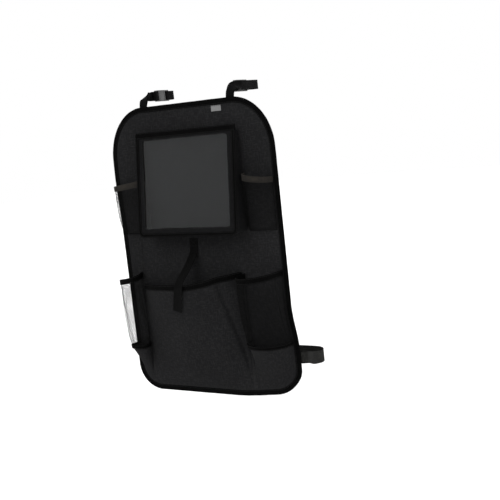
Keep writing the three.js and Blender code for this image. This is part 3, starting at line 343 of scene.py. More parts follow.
def fabric(name, colour, fleck, warp, weft, ribs=(0.5, 0.5), fleck_share=0.35, roughness=0.88,
           sheen=0.01, relief=0.25):
    """A woven finish on the piece's UV map, which is in metres along and across the cloth.

    warp and weft are the thread spacings in millimetres, and ribs says how much each
    of the two thread sets stands up. A fleck lightens single threads.
    """
    mottle, gloss, worn = 0.12, 0.03, 0.5
    paint, tree, shader = new_finish(name)
    place = node(tree, "ShaderNodeUVMap", uv_map="cut")
    axes = node(tree, "ShaderNodeSeparateXYZ", links={0: place})
    waves, raised, streaks = [], [], []
    for axis, spacing, rib in (("X", warp, ribs[0]), ("Y", weft, ribs[1])):
        turns = node(tree, "ShaderNodeMath", {1: 2 * math.pi / (spacing * MM)},
                     {0: axes.outputs[axis]}, operation="MULTIPLY")
        wave = node(tree, "ShaderNodeMath", links={0: turns}, operation="SINE")
        waves.append(wave)
        raised.append(node(tree, "ShaderNodeMath", {1: rib}, {0: wave}, operation="MULTIPLY"))
        # flecked threads: noise drawn out along the other axis
        along, across = 0.12 / (spacing * MM), 0.6 / (spacing * MM)
        scale = (across, along, 1) if axis == "X" else (along, across, 1)
        drawn = node(tree, "ShaderNodeMapping", {"Scale": scale}, {"Vector": place})
        streaks.append(node(tree, "ShaderNodeTexNoise",
                            {"Scale": 1.0, "Detail": 2.0, "Roughness": 0.6},
                            {"Vector": drawn}, noise_dimensions="2D"))
    weave = node(tree, "ShaderNodeMath", links=dict(enumerate(waves)), operation="MULTIPLY")
    both = node(tree, "ShaderNodeMath", links=dict(enumerate(raised)), operation="ADD")
    height = node(tree, "ShaderNodeMath", links={0: weave, 1: both}, operation="ADD")
    thread = node(tree, "ShaderNodeMath", links=dict(enumerate(streaks)), operation="MAXIMUM")
    chosen = node(tree, "ShaderNodeMapRange",
                  {"From Min": 0.52, "From Max": 0.72, "To Max": fleck_share}, {"Value": thread})
    # cloudy patches a decimetre wide, and painted shade that darkens the hollows between the
    # threads
    object_place = node(tree, "ShaderNodeTexCoord")
    cloud = node(tree, "ShaderNodeTexNoise", {"Scale": 9.0, "Detail": 3.0},
                 {"Vector": object_place.outputs["Object"]})
    patch = node(tree, "ShaderNodeMapRange",
                 {"From Min": 0.3, "From Max": 0.7, "To Min": 1 - mottle, "To Max": 1 + mottle},
                 {"Value": cloud})
    # painted shade: the colour drops to 0.72 where the weave lies low, as if shaded
    painted_weave_shade = node(tree, "ShaderNodeMapRange",
                  {"From Min": -1.6, "From Max": 1.2, "To Min": 0.72, "To Max": 1.08},
                  {"Value": height})
    # the cloudy patches times the painted shade of the weave
    mottle_and_painted_shade = node(tree, "ShaderNodeMath", links={0: patch, 1: painted_weave_shade}, operation="MULTIPLY")
    dyed = node(tree, "ShaderNodeMix", {6: linear(colour), 7: linear(fleck)}, {0: chosen},
                data_type="RGBA")
    # folded edges rub paler, more in some places than in others
    form = node(tree, "ShaderNodeNewGeometry")
    folded = node(tree, "ShaderNodeMapRange", {"From Min": 0.52, "From Max": 0.62, "To Max": worn},
                  {"Value": form.outputs["Pointiness"]})
    rub = node(tree, "ShaderNodeMath", links={0: folded, 1: cloud}, operation="MULTIPLY")
    rubbed = node(tree, "ShaderNodeMix", {7: linear(fleck)}, {0: rub, 6: dyed.outputs[2]},
                  data_type="RGBA")
    tint = node(tree, "ShaderNodeVectorMath", links={0: rubbed.outputs[2], "Scale": mottle_and_painted_shade},
                operation="SCALE")
    tree.links.new(tint.outputs[0], shader.inputs["Base Color"])
    rough = node(tree, "ShaderNodeMapRange",
                 {"To Min": roughness - 0.1, "To Max": min(roughness + 0.08, 1)},
                 {"Value": thread})
    tree.links.new(rough.outputs[0], shader.inputs["Roughness"])
    bump = node(tree, "ShaderNodeBump", {"Strength": relief, "Distance": 0.25 * MM},
                {"Height": height})
    tree.links.new(bump.outputs[0], shader.inputs["Normal"])
    shader.inputs["Sheen Weight"].default_value = sheen
    shader.inputs["Sheen Roughness"].default_value = 0.5
    shader.inputs["Specular IOR Level"].default_value = gloss
    return paint


def plastic(name, colour, roughness, grain):
    """Moulded plastic with the faint grain of a spark-eroded mould, sized in millimetres."""
    paint, tree, shader = new_finish(name)
    shader.inputs["IOR"].default_value = 1.48
    place = node(tree, "ShaderNodeTexCoord").outputs["Object"]
    pits = node(tree, "ShaderNodeTexNoise", {"Scale": 1 / (grain * MM), "Detail": 2.0},
                {"Vector": place})
    dull = node(tree, "ShaderNodeTexNoise", {"Scale": 60.0, "Detail": 2.0}, {"Vector": place})
    rough = node(tree, "ShaderNodeMapRange",
                 {"To Min": roughness - 0.08, "To Max": roughness + 0.12}, {"Value": dull})
    tree.links.new(rough.outputs[0], shader.inputs["Roughness"])
    pale = [min(1, 2 * c + 0.004) for c in linear(colour)[:3]] + [1]
    tone = node(tree, "ShaderNodeMix", {6: linear(colour), 7: pale}, {0: pits}, data_type="RGBA")
    # the moulded edges are rubbed paler
    form = node(tree, "ShaderNodeNewGeometry")
    edge = node(tree, "ShaderNodeMapRange", {"From Min": 0.52, "From Max": 0.6, "To Max": 0.6},
                {"Value": form.outputs["Pointiness"]})
    rub = node(tree, "ShaderNodeMath", links={0: edge, 1: dull}, operation="MULTIPLY")
    worn = node(tree, "ShaderNodeMix", {7: linear("3a3a3a")}, {0: rub, 6: tone.outputs[2]},
                data_type="RGBA")
    tree.links.new(worn.outputs[2], shader.inputs["Base Color"])
    bump = node(tree, "ShaderNodeBump", {"Strength": 0.15, "Distance": 0.05 * MM},
                {"Height": pits})
    tree.links.new(bump.outputs[0], shader.inputs["Normal"])
    return paint


def clear_film():
    """Clear TPU film: smooth and shiny, with a slow ripple that bends its reflections."""
    paint, tree, shader = new_finish("tpu_film")
    shader.inputs["Base Color"].default_value = linear("eef1f2")
    shader.inputs["Transmission Weight"].default_value = 1.0
    # lower than the plastic's own, so that the white studio's reflection doesn't veil the pocket
    shader.inputs["IOR"].default_value = 1.28
    place = node(tree, "ShaderNodeUVMap", uv_map="cut")
    ripple = node(tree, "ShaderNodeTexNoise", {"Scale": 14.0, "Detail": 1.0}, {"Vector": place})
    haze = node(tree, "ShaderNodeMapRange", {"To Min": 0.02, "To Max": 0.06}, {"Value": ripple})
    tree.links.new(haze.outputs[0], shader.inputs["Roughness"])
    bump = node(tree, "ShaderNodeBump", {"Strength": 0.1, "Distance": 1.0 * MM},
                {"Height": ripple})
    tree.links.new(bump.outputs[0], shader.inputs["Normal"])
    return paint


# 600D polyester canvas, plain weave of mixed black and charcoal yarns, which gives a dry
# heathered charcoal. Real threads are 0.5 mm apart; they are drawn 1.5 mm apart so that they show.
CANVAS = fabric("woven_polyester_canvas", "1b1b1c", "2e2e2e", 1.5, 1.5, fleck_share=0.5)
# The same canvas in plain black, on the window pocket's frame and side strip.
BLACK_CANVAS = fabric("black_woven_canvas", "111112", "202020", 1.5, 1.5, fleck_share=0.5)
# Polyester grosgrain binding tape, woven with ribs across it, drawn 1.2 mm apart: matt black.
BINDING = fabric("woven_grosgrain_tape", "040404", "0f0f0f", 1.2, 3.0, ribs=(0.9, 0.1), sheen=0.0)
# The bands of the small pockets are a browner grosgrain.
UPPER_BAND = fabric("brown_grey_grosgrain", "262422", "37332e", 1.2, 3.0, ribs=(0.9, 0.1))
# Warp-knitted polyester netting yarn, soft and matt.
NETTING = fabric("knitted_polyester_netting", "0a0a0a", "161616", 0.6, 0.6, relief=0.15)
# Woven polypropylene webbing: coarse ribs across the strap, a little waxy.
WEBBING_CLOTH = fabric("woven_polypropylene_webbing", "060606", "121212", 1.8, 2.2,
                       ribs=(0.8, 0.2), roughness=0.7, relief=0.4)
# The belt's webbing is dyed grey, which sets it off from the black loops.
BELT_CLOTH = fabric("grey_polypropylene_webbing", "1c1c1b", "30302e", 1.8, 2.2,
                    ribs=(0.8, 0.2), roughness=0.75, fleck_share=0.6, relief=0.4)
# Knitted hook and loop tape: dense short pile, matt black on both halves.
CLOSURE_TAPE = fabric("knitted_hook_and_loop_tape", "0a0a0a", "181818", 1.6, 1.6,
                      ribs=(0.1, 0.1), roughness=0.95, relief=0.8, sheen=0.1)
# Moulded acetal with a mould grain of 0.5 mm: a dull black shine with paler edges.
ACETAL = plastic("acetal", "0b0b0b", 0.38, 0.5)
FILM = clear_film()
# Woven polyester satin: a plain grey patch with a soft sheen.
LABEL_SATIN = fabric("woven_label_satin", "757575", "8c8c8c", 0.8, 0.8, roughness=0.55,
                     relief=0.2, sheen=0.1)
# Spun polyester sewing thread, drawn twice as thick as it is and a shade paler than the
# tape, so that the rows show from near.
THREAD = fabric("spun_polyester_thread", "1a1a1a", "303030", 0.4, 0.4, roughness=0.6, relief=0.1)


# ---- Mesh building

def mix(a, b, share):
    return a + (b - a) * share


def smooth(share):
    s = np.clip(share, 0, 1)
    return s * s * (3 - 2 * s)


def unit(vectors):
    return vectors / np.linalg.norm(vectors, axis=-1, keepdims=True)


def lengths_along(points):
    """The length of a run of points up to each of them."""
    return np.concatenate([[0], np.cumsum(np.linalg.norm(np.diff(points, axis=0), axis=1))])


def spaced(points, along, at):
    """Points on a run, at the lengths given."""
    return np.stack([np.interp(at, along, points[:, k]) for k in range(2)], -1)


def wander(x, y=0.0, z=0.0):
    """Smooth noise from -1 to 1 at the places given, where 1 is the size of its waves."""
    places = np.stack(np.broadcast_arrays(x, y, z), -1).reshape(-1, 3)
    return np.array([noise.noise(Vector(place)) for place in places])


def pulled(points):
    """Points as they hang: the belt draws the lower right corner out, back and up, and the
    upper left edge spreads a little."""
    x, y, z = np.asarray(points, float).T
    near = 1 - smooth((y - PULL_BEHIND_Y) / PULL_BEHIND_REACH)
    low = smooth((PULL_START[1] - z) / PULL_REACH[1])
    share = smooth((x - PULL_START[0]) / PULL_REACH[0]) * low * near
    lift = smooth((x - LIFT_START[0]) / LIFT_REACH[0]) * near
    lift = lift * smooth((LIFT_START[1] - z) / LIFT_REACH[1])
    out = 1 - PULL_EASE * smooth((PULL_EASE_Z - z) / PULL_EASE_REACH)
    spread = SHOULDER_SPREAD * smooth((SPREAD_X - x) / SPREAD_REACH)
    spread = spread * np.exp(-((z - SPREAD_Z) / SPREAD_HEIGHT) ** 2)
    return np.stack([x + CORNER_PULL_X * share * out - spread, y + CORNER_PULL_Y * share,
                     z + CORNER_LIFT * lift], -1)


def build(name, points, faces, cut, finish):
    """A mesh object from points and its flat cut, the UV map, all in millimetres."""
    mesh = bpy.data.meshes.new(name)
    mesh.from_pydata((pulled(points) * MM).tolist(), [], faces)
    layer = mesh.uv_layers.new(name="cut")
    corner = np.zeros(len(mesh.loops), np.int32)
    mesh.loops.foreach_get("vertex_index", corner)
    flat = np.asarray(cut, float)[corner] * MM
    layer.data.foreach_set("uv", flat.astype(np.float32).ravel())
    mesh.validate()
    mesh.shade_smooth()
    mesh.set_sharp_from_angle(angle=math.radians(50))
    mesh.materials.append(finish)
    return add_object(name, mesh)


def grid_quads(rows, columns, kept=None):
    r, c = np.meshgrid(np.arange(rows - 1), np.arange(columns - 1), indexing="ij")
    first = r * columns + c
    quads = np.stack([first, first + 1, first + columns + 1, first + columns], -1)
    return quads[kept] if kept is not None else quads.reshape(-1, 4)


def normals_of(points, quads):
    a, b, c, d = (points[quads[:, k]] for k in range(4))
    face = np.cross(c - a, d - b)
    total = np.zeros_like(points)
    for k in range(4):
        np.add.at(total, quads[:, k], face)
    return total / np.maximum(np.linalg.norm(total, axis=1, keepdims=True), 1e-9)


def sheet_faces(quads, count):
    """Faces of a front and a rear of count points each, with a wall along each open edge."""
    edges = np.concatenate([quads[:, [k, (k + 1) % 4]] for k in range(4)])
    keys, turned = edges[:, 0] * count + edges[:, 1], edges[:, 1] * count + edges[:, 0]
    rim = edges[~np.isin(keys, turned)]
    walls = np.stack([rim[:, 1], rim[:, 0], rim[:, 0] + count, rim[:, 1] + count], -1)
    return np.concatenate([quads, quads[:, ::-1] + count, walls]).tolist()


def cloth(name, points, quads, cut, thickness, finish):
    """One thick closed sheet through the points."""
    used, index = np.unique(quads, return_inverse=True)
    quads = index.reshape(-1, 4)
    points, cut = points.reshape(-1, 3)[used], cut.reshape(-1, 2)[used]
    normal = normals_of(points, quads)
    both = np.concatenate([points + normal * thickness / 2, points - normal * thickness / 2])
    return build(name, both, sheet_faces(quads, len(points)), np.concatenate([cut, cut]), finish)


def loop_sweep(name, rings, finish, cut, closed=False):
    """Quads round and along rings of points, with a cap at each end unless the sweep is closed."""
    steps, around = rings.shape[:2]
    faces = []
    for i in range(steps if closed else steps - 1):
        for j in range(around):
            a, b = i * around, ((i + 1) % steps) * around
            faces.append([a + j, a + (j + 1) % around, b + (j + 1) % around, b + j])
    if not closed:
        faces.append(list(range(around))[::-1])
        faces.append([(steps - 1) * around + j for j in range(around)])
    return build(name, rings.reshape(-1, 3), faces, cut.reshape(-1, 2), finish)


def ripple(points, scale, seed=0.0):
    """Soft noise from -1 to 1 at points in millimetres, for folds of about that size."""
    shift = Vector((seed, seed, seed))
    return np.array([noise.noise(Vector(p) / scale + shift) for p in points.reshape(-1, 3)])


def finish_piece(piece, slot_name, *nodes):
    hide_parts(*nodes)
    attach(piece, "root")
    return piece


# ---- Panel and edge tape

def half_width(z):
    """Half the panel's width at a height, rounded in at the shoulders and the lower corners."""
    h = PANEL_HEIGHT / 2
    rise = np.clip((z - (h - SHOULDER_DROP)) / SHOULDER_DROP, 0, 1)
    fall = np.clip((-h + CORNER_RADIUS - z) / CORNER_RADIUS, 0, 1)
    shoulder = SHOULDER_WIDTH * (1 - np.sqrt(1 - rise ** 2))
    return PANEL_WIDTH / 2 - shoulder - CORNER_RADIUS * (1 - np.sqrt(1 - fall ** 2))


def panel_rows():
    h = PANEL_HEIGHT / 2
    low = -h + CORNER_RADIUS - CORNER_RADIUS * np.cos(np.linspace(0, math.pi / 2, 22))
    high = h - SHOULDER_DROP + SHOULDER_DROP * np.sin(np.linspace(0, math.pi / 2, 34))
    middle = np.arange(low[-1], high[0], 4.5)[1:]
    return np.concatenate([low, middle, high])


def make_panel():
    z, columns = panel_rows(), 97
    share = np.linspace(-1, 1, columns)
    x = half_width(z)[:, None] * share[None, :]
    zz = np.repeat(z[:, None], columns, 1)
    edge = np.minimum((1 - np.abs(share))[None, :] * half_width(z)[:, None],
                      (PANEL_HEIGHT / 2 - np.abs(z))[:, None])
    flat = np.stack([x, np.zeros_like(x), zz], -1)
    # the foam fills out over 25 mm inside the tape, and the tape presses the rear edge in
    puff = smooth((edge - TAPE_WIDTH) / 25)
    soft = (0.35 * ripple(flat, 60) + 0.2 * ripple(flat, 22, 7.0)).reshape(x.shape)
    front_y = -PANEL_THICKNESS - puff * (0.25 + soft)
    pressed = EDGE_RECESS * (1 - smooth((edge - TAPE_WIDTH + 1) / 4))
    rear_y = np.minimum(puff * 0.5 * soft, 0) - pressed
    both = np.concatenate([np.stack([x, y, zz], -1).reshape(-1, 3) for y in (front_y, rear_y)])
    faces = sheet_faces(grid_quads(*x.shape), x.size)
    cut = flat.reshape(-1, 3)[:, [0, 2]]
    panel = build("panel_cloth", both, faces, np.concatenate([cut, cut]), CANVAS)
    finish_piece(panel, "canvas", "back_panel")


def outline_points(step=3.0):
    """Points round the panel's outline, anticlockwise from the front, with their inward
    directions and the length up to each."""
    h, w = PANEL_HEIGHT / 2, PANEL_WIDTH / 2
    foot, shoulder = (CORNER_RADIUS, CORNER_RADIUS), (SHOULDER_WIDTH, SHOULDER_DROP)
    corners = []
    for side, end, (rx, rz), start in ((1, -1, foot, -90), (1, 1, shoulder, 0),
                                       (-1, 1, shoulder, 90), (-1, -1, foot, 180)):
        angle = np.radians(np.linspace(start, start + 90, 80))
        corners.append(np.stack([side * (w - rx) + rx * np.cos(angle),
                                 end * (h - rz) + rz * np.sin(angle)], -1))
    loop = np.concatenate(corners + [corners[0][:1]])
    along = lengths_along(loop)
    at = np.linspace(0, along[-1], int(along[-1] / step), endpoint=False)
    points = spaced(loop, along, at)
    ahead = np.roll(points, -1, 0) - np.roll(points, 1, 0)
    return points, unit(np.stack([-ahead[:, 1], ahead[:, 0]], -1)), at


def make_edge_tape():
    points, inward, at = outline_points()
    skin = GAP + TAPE
    t, rear = PANEL_THICKNESS, -EDGE_RECESS
    # section as inset from the edge and y, round the outside and back along the inside
    section = np.array([
        (TAPE_WIDTH, -t - GAP), (TAPE_WIDTH, -t - skin + 0.15), (TAPE_WIDTH - 0.6, -t - skin),
        (5, -t - skin - 0.1), (0.6, -t - skin), (-0.5, -t - 0.75), (-skin, -t + 0.3),
        (-skin - 0.1, (rear - t) / 2), (-skin, rear - 0.1), (-0.5, rear + 0.75),
        (0.6, rear + skin), (5, rear + skin + 0.1), (TAPE_WIDTH - 0.6, rear + skin),
        (TAPE_WIDTH, rear + skin - 0.15), (TAPE_WIDTH, rear + GAP), (0, rear + GAP),
        (-GAP, rear), (-GAP, -t), (0, -t - GAP)])
    wave = 0.25 * wander(points[:, 0] / 14, points[:, 1] / 14)
    inset = section[None, :, 0] + wave[:, None]
    flat = points[:, None, :] + inward[:, None, :] * inset[..., None]
    y = np.broadcast_to(section[:, 1], inset.shape)
    rings = np.stack([flat[..., 0], y, flat[..., 1]], -1)
    cut = np.stack(np.meshgrid(at, 2.0 * np.arange(len(section)), indexing="ij"), -1)
    tape = loop_sweep("edge_tape", rings, BINDING, cut, closed=True)
    finish_piece(tape, "binding_tape", "edge_binding")


# ---- Walls that the pockets follow

class Wall:
    """A curved face that cloth follows, with its width and height laid flat. Its point takes
    shares of the width and the height."""

    def __init__(self, width, height, point):
        self.width, self.height, self.point = width, height, point

    def normal(self, across, up):
        step = 0.004
        right = self.point(np.minimum(across + step, 1), up)
        left = self.point(np.maximum(across - step, 0), up)
        rise = self.point(across, up + step) - self.point(across, up - step)
        return unit(np.cross(right - left, rise))

    def at(self, x, y, offset):
        """Points an offset in front of the wall, at flat distances from its lower left corner."""
        across, up = x / self.width, y / self.height
        return self.point(across, up) + self.normal(across, up) * np.asarray(offset)[..., None]


def bowed_wall(left, right, foot, mouth, depth, swell, fullness):
    """A net's face, bowed out between two seams. fullness is the share of the bow at a height."""
    half, middle = (right - left) / 2, (left + right) / 2

    def bow(t):
        side = half + swell * np.sin(math.pi * t)
        return -np.cos(math.pi * t) * side, depth * np.sin(math.pi * t)

    steps = np.linspace(0, 1, 801)
    along = lengths_along(np.stack(bow(steps), -1))

    def point(across, up):
        across, up = np.broadcast_arrays(np.clip(across, 0, 1), up)
        x, y = bow(np.interp(across * along[-1], along, steps))
        share = fullness(up)
        straight = np.sign(x) * np.minimum(np.abs(x), half)
        z = mix(foot, mix(*mouth, smooth(across)), up)
        return np.stack([middle + mix(straight, x, share), -(ON_PANEL + share * y), z], -1)

    return Wall(along[-1], sum(mouth) / 2 - foot, point)


def small_net_fullness(up):
    """A small net's share of its full bow: almost none at its foot, and soon all of it."""
    return np.sqrt(np.maximum(1 - (1 - up) ** 4, 0.002))


def small_net_walls():
    inner = WINDOW_WIDTH / 2 + SEAM_MARGIN
    left = bowed_wall(-POCKET_EDGE_X, -inner, UPPER_NET_FOOT, UPPER_LEFT_MOUTH, UPPER_NET_DEPTH,
                      UPPER_LEFT_SWELL, small_net_fullness)
    right = bowed_wall(inner, POCKET_EDGE_X, UPPER_NET_FOOT, UPPER_RIGHT_MOUTH, UPPER_NET_DEPTH,
                       0, small_net_fullness)
    return left, right


def side_net_fullness(up):
    """A side net's share of its full bow, least at its foot."""
    return mix(SIDE_NET_FOOT_BOW, 1, 1 - (1 - up) ** 2)


def side_net_walls():
    left = bowed_wall(-POCKET_EDGE_X, LEFT_SEAM_X - SEAM_WIDTH / 2, LEFT_NET_FOOT,
                      LEFT_NET_MOUTH, LEFT_NET_DEPTH, LEFT_NET_SWELL, side_net_fullness)
    right = bowed_wall(RIGHT_SEAM_X + SEAM_WIDTH / 2, POCKET_EDGE_X, RIGHT_NET_FOOT,
                       RIGHT_NET_MOUTH, RIGHT_NET_DEPTH, RIGHT_NET_SWELL, side_net_fullness)
    return left, right


def window_depth(z):
    return mix(WINDOW_FOOT_DEPTH, WINDOW_TOP_DEPTH, (z - WINDOW_FOOT) / (WINDOW_TOP - WINDOW_FOOT))


def window_wall():
    def point(across, up):
        across, up = np.broadcast_arrays(across, up)
        z = mix(WINDOW_FOOT, WINDOW_TOP, up)
        return np.stack([(across - 0.5) * WINDOW_WIDTH, -window_depth(z), z], -1)

    height = math.hypot(WINDOW_TOP - WINDOW_FOOT, WINDOW_FOOT_DEPTH - WINDOW_TOP_DEPTH)
    return Wall(WINDOW_WIDTH, height, point)


def foot_line(x):
    inset = TAPE_WIDTH + SEAM_MARGIN
    radius = CORNER_RADIUS - inset
    reach = np.clip(np.abs(x) - (PANEL_WIDTH / 2 - CORNER_RADIUS), 0, radius)
    return -PANEL_HEIGHT / 2 + CORNER_RADIUS - np.sqrt(radius ** 2 - reach ** 2)


def wide_mouth_z(share):
    """The mouth's height across the pocket, which stands up between its two seams."""
    lift = WIDE_MOUTH_LIFT * np.sin(math.pi * np.clip(share / MOUTH_LIFT_END, 0, 1))
    lift = lift + WIDE_END_LIFT * smooth((share - END_LIFT_START) / 0.15)
    return mix(WIDE_LEFT_MOUTH, WIDE_RIGHT_MOUTH, smooth((share - 0.5) / 0.5)) + lift


def wide_depth(share, z):
    foot = foot_line(mix(WIDE_LEFT, WIDE_RIGHT, share))
    rise = np.maximum(z - foot, 0) / (wide_mouth_z(share) - foot)
    from_middle = np.abs(2 * np.clip(share, 0, 1) ** WIDE_LEAN - 1)
    bow = np.maximum(1 - from_middle ** WIDE_FLATNESS, 0) ** WIDE_ROUNDING
    return ON_PANEL + (TAPE + 2 * GAP) * rise + WIDE_DEPTH * bow * rise ** WIDE_BILLOW


def wide_wall():
    def point(across, up):
        across, up = np.broadcast_arrays(across, up)
        share = (1 - np.cos(math.pi * across)) / 2
        x = mix(WIDE_LEFT, WIDE_RIGHT, share)
        z = mix(foot_line(x), wide_mouth_z(share), up)
        return np.stack([x, -wide_depth(share, z), z], -1)

    height = (WIDE_LEFT_MOUTH + WIDE_RIGHT_MOUTH) / 2 - foot_line(0)
    return Wall(WIDE_RIGHT - WIDE_LEFT + 2 * WIDE_DEPTH, height, point)


def folded_tape(name, wall, rear, front, grip, finish, slot_name, cad_node):
    """Tape folded over a wall's upper edge, with a rounded fold and soft lower edges."""
    skin = GAP + TAPE
    foot = -MOUTH_TAPE_WIDTH
    inner = foot + grip + GAP
    section = [(front + GAP, foot), (front + skin - 0.15, foot), (front + skin, foot + 0.5),
               (front + skin + 0.1, foot / 2), (front + skin, -0.8), (front + skin - 0.5, -0.15),
               ((front + rear) / 2, 0.1), (rear - skin + 0.5, -0.15), (rear - skin, -0.8),
               (rear - skin - 0.1, foot / 2), (rear - skin, foot + 0.5),
               (rear - skin + 0.15, foot), (rear - GAP, foot), (rear - GAP, inner),
               (front + GAP, inner)]
    x = np.linspace(0, wall.width, int(wall.width / 3) + 1)
    offset, y = np.array(section).T
    xx, oo = np.meshgrid(x, offset, indexing="ij")
    sag = 0.2 * wander(x / 17, 3.3, 1.1)[:, None]
    rings = wall.at(xx, wall.height + y[None, :] + sag, oo)
    cut = np.stack(np.meshgrid(x, 2.0 * np.arange(len(section)), indexing="ij"), -1)
    tape = loop_sweep(name, rings[:, ::-1], finish, cut[:, ::-1])
    finish_piece(tape, slot_name, cad_node)


# ---- Netting

def hexagon_lines(width, height, pitch):
    """Points and lines of a flat hexagon lattice that fills a rectangle."""
    radius = pitch / math.sqrt(3)
    shortest = 0.2
    points, lines, index = [], set(), {}

    def number(x, y):
        # points within a twentieth of a millimetre are one
        key = (round(x * 20), round(y * 20))
        if key not in index:
            index[key] = len(points)
            points.append((min(max(x, 0), width), min(max(y, 0), height)))
        return index[key]

    rows = int(height / (1.5 * radius)) + 2
    columns = int(width / pitch) + 2
    for r in range(rows):
        for c in range(columns):
            x, y = (c + 0.5 * (r % 2)) * pitch, r * 1.5 * radius
            ring = [number(x + radius * math.sin(angle), y + radius * math.cos(angle))
                    for angle in [math.pi * k / 3 for k in range(6)]]
            for a, b in zip(ring, ring[1:] + ring[:1]):
                lines.add((min(a, b), max(a, b)))
    flat = np.array(points)
    kept = [(a, b) for a, b in sorted(lines) if np.hypot(*(flat[a] - flat[b])) > shortest]
    return flat, kept


def line_tree(name, **inputs):
    """A new tree that takes a mesh's lines and the inputs given: its start and its curve."""
    tree = bpy.data.node_groups.new(name, "GeometryNodeTree")
    kinds = {"Geometry": "Geometry", **inputs, "Finish": "Material"}
    for label, kind in kinds.items():
        tree.interface.new_socket(label.replace("_", " "), in_out="INPUT",
                                  socket_type="NodeSocket" + kind)
    tree.interface.new_socket("Geometry", in_out="OUTPUT", socket_type="NodeSocketGeometry")
    given = node(tree, "NodeGroupInput")
    return tree, given, node(tree, "GeometryNodeMeshToCurve", links={"Mesh": given})


def end_tree(tree, given, last):
    """Ends a tree with what it has made as real, smooth and dyed thread."""
    real = node(tree, "GeometryNodeRealizeInstances", links={"Geometry": last})
    soft = node(tree, "GeometryNodeSetShadeSmooth", links={"Geometry": real})
    dyed = node(tree, "GeometryNodeSetMaterial",
                links={"Geometry": soft, "Material": given.outputs["Finish"]})
    node(tree, "NodeGroupOutput", links={"Geometry": dyed})
    return tree


def thread_tree():
    """Turns the lines of a mesh into round threads."""
    tree, given, line = line_tree("thread_on_lines", Thread_radius="Float", Sides="Int")
    ring = node(tree, "GeometryNodeCurvePrimitiveCircle",
                links={"Resolution": given.outputs["Sides"],
                       "Radius": given.outputs["Thread radius"]})
    tube = node(tree, "GeometryNodeCurveToMesh", {"Fill Caps": True},
                {"Curve": line, "Profile Curve": ring})
    return end_tree(tree, given, tube)


def stitch_tree():
    """Sets one stitch after another along the lines of a mesh."""
    tree, given, line = line_tree("stitches_on_lines", Stitch_pitch="Float",
                                  Stitch_length="Float", Thread_width="Float")
    even = node(tree, "GeometryNodeResampleCurve", links={"Curve": line}, mode="LENGTH")
    tree.links.new(given.outputs["Stitch pitch"], even.inputs["Length"])
    bead = node(tree, "GeometryNodeMeshUVSphere", {"Segments": 6, "Rings": 4, "Radius": 0.5})
    width = given.outputs["Thread width"]
    size = node(tree, "ShaderNodeCombineXYZ",
                links={0: given.outputs["Stitch length"], 1: width, 2: width})
    tangent = node(tree, "GeometryNodeInputTangent")
    turn = node(tree, "FunctionNodeAlignRotationToVector", links={"Vector": tangent}, axis="X")
    placed = node(tree, "GeometryNodeInstanceOnPoints",
                  links={"Points": even, "Instance": bead, "Rotation": turn, "Scale": size})
    return end_tree(tree, given, placed)


def grown(name, points, lines, tree, values, finish):
    """Runs a tree on lines in millimetres and keeps its result as a plain mesh."""
    guide = bpy.data.meshes.new(name + "_guide")
    guide.from_pydata((pulled(points) * MM).tolist(), [(int(a), int(b)) for a, b in lines], [])
    source = add_object(name + "_guide", guide)
    modifier = source.modifiers.new("grow", "NODES")
    modifier.node_group = tree
    sockets = {item.name: item.identifier for item in tree.interface.items_tree
               if item.item_type == "SOCKET" and item.in_out == "INPUT"}
    for socket, value in {**values, "Finish": finish}.items():
        modifier[sockets[socket]] = value
    bpy.context.view_layer.update()
    graph = bpy.context.evaluated_depsgraph_get()
    mesh = bpy.data.meshes.new_from_object(source.evaluated_get(graph))
    bpy.data.objects.remove(source)
    mesh.name = name
    if not mesh.uv_layers:
        mesh.uv_layers.new(name="cut")
    mesh.uv_layers[0].name = "cut"
    place = np.zeros(len(mesh.vertices) * 3, np.float32)
    mesh.vertices.foreach_get("co", place)
    corner = np.zeros(len(mesh.loops), np.int32)
    mesh.loops.foreach_get("vertex_index", corner)
    flat = place.reshape(-1, 3)[corner][:, [0, 2]]
    mesh.uv_layers["cut"].data.foreach_set("uv", flat.ravel())
    return add_object(name, mesh)


THREADS = thread_tree()
STITCHES = stitch_tree()


def make_net(name, wall, cad_node, fold):
    """Netting over a wall, in soft upright folds of the depth given."""
    top = wall.height - MOUTH_TAPE_WIDTH + MOUTH_GRIP
    flat, lines = hexagon_lines(wall.width, top, MESH_PITCH)
    x, y = flat.T
    free = smooth(y / NET_FOLD_FADE) * smooth((top - y) / NET_FOLD_FADE)
    free = free * smooth(np.minimum(x, wall.width - x) / NET_FOLD_SEAM)
    # the folds drift sideways as they rise, and lean a little
    drift = 0.9 * wander(x / 22, y / 90, 4.0) + y / 260
    points = wall.at(x, y, fold * free * np.sin(2 * math.pi * (x / NET_FOLD_WIDTH + drift)))
    thread = {"Thread radius": MESH_THREAD / 2 * MM, "Sides": 5}
    net = grown(name, points, lines, THREADS, thread, NETTING)
    finish_piece(net, "netting", cad_node)


# ---- Window pocket

def cradle(x0, x1, y0, y1, radius, count):
    """A run down the left side, round two foot corners and up the right side, evenly stepped."""
    angle = np.linspace(math.pi, math.pi * 1.5, 24)
    left = np.stack([x0 + radius + radius * np.cos(angle),
                     y0 + radius + radius * np.sin(angle)], -1)
    right = np.stack([x1 - radius - radius * np.cos(angle[::-1]), left[::-1, 1]], -1)
    run = np.concatenate([[[x0, y1]], left, right, [[x1, y1]]])
    along = lengths_along(run)
    at = np.linspace(0, along[-1], count)
    return spaced(run, along, at), at


def rounded_loop(x0, x1, y0, y1, radii, count):
    """A closed rounded rectangle, anticlockwise from its upper left corner, by equal shares
    of its sides."""
    loop = []
    for x, y, radius, start in zip((x0, x0, x1, x1), (y1, y0, y0, y1), radii, (90, 180, 270, 0)):
        cx = x + radius if x == x0 else x - radius
        cy = y + radius if y == y0 else y - radius
        angle = np.radians(np.linspace(start, start + 90, 12))
        loop.append(np.stack([cx + radius * np.cos(angle), cy + radius * np.sin(angle)], -1))
    sides = []
    share = np.linspace(0, 1, count + 1)[1:-1, None]
    for a, b in zip(loop, loop[1:] + loop[:1]):
        sides += [a, a[-1] * (1 - share) + b[0] * share]
    return np.concatenate(sides)


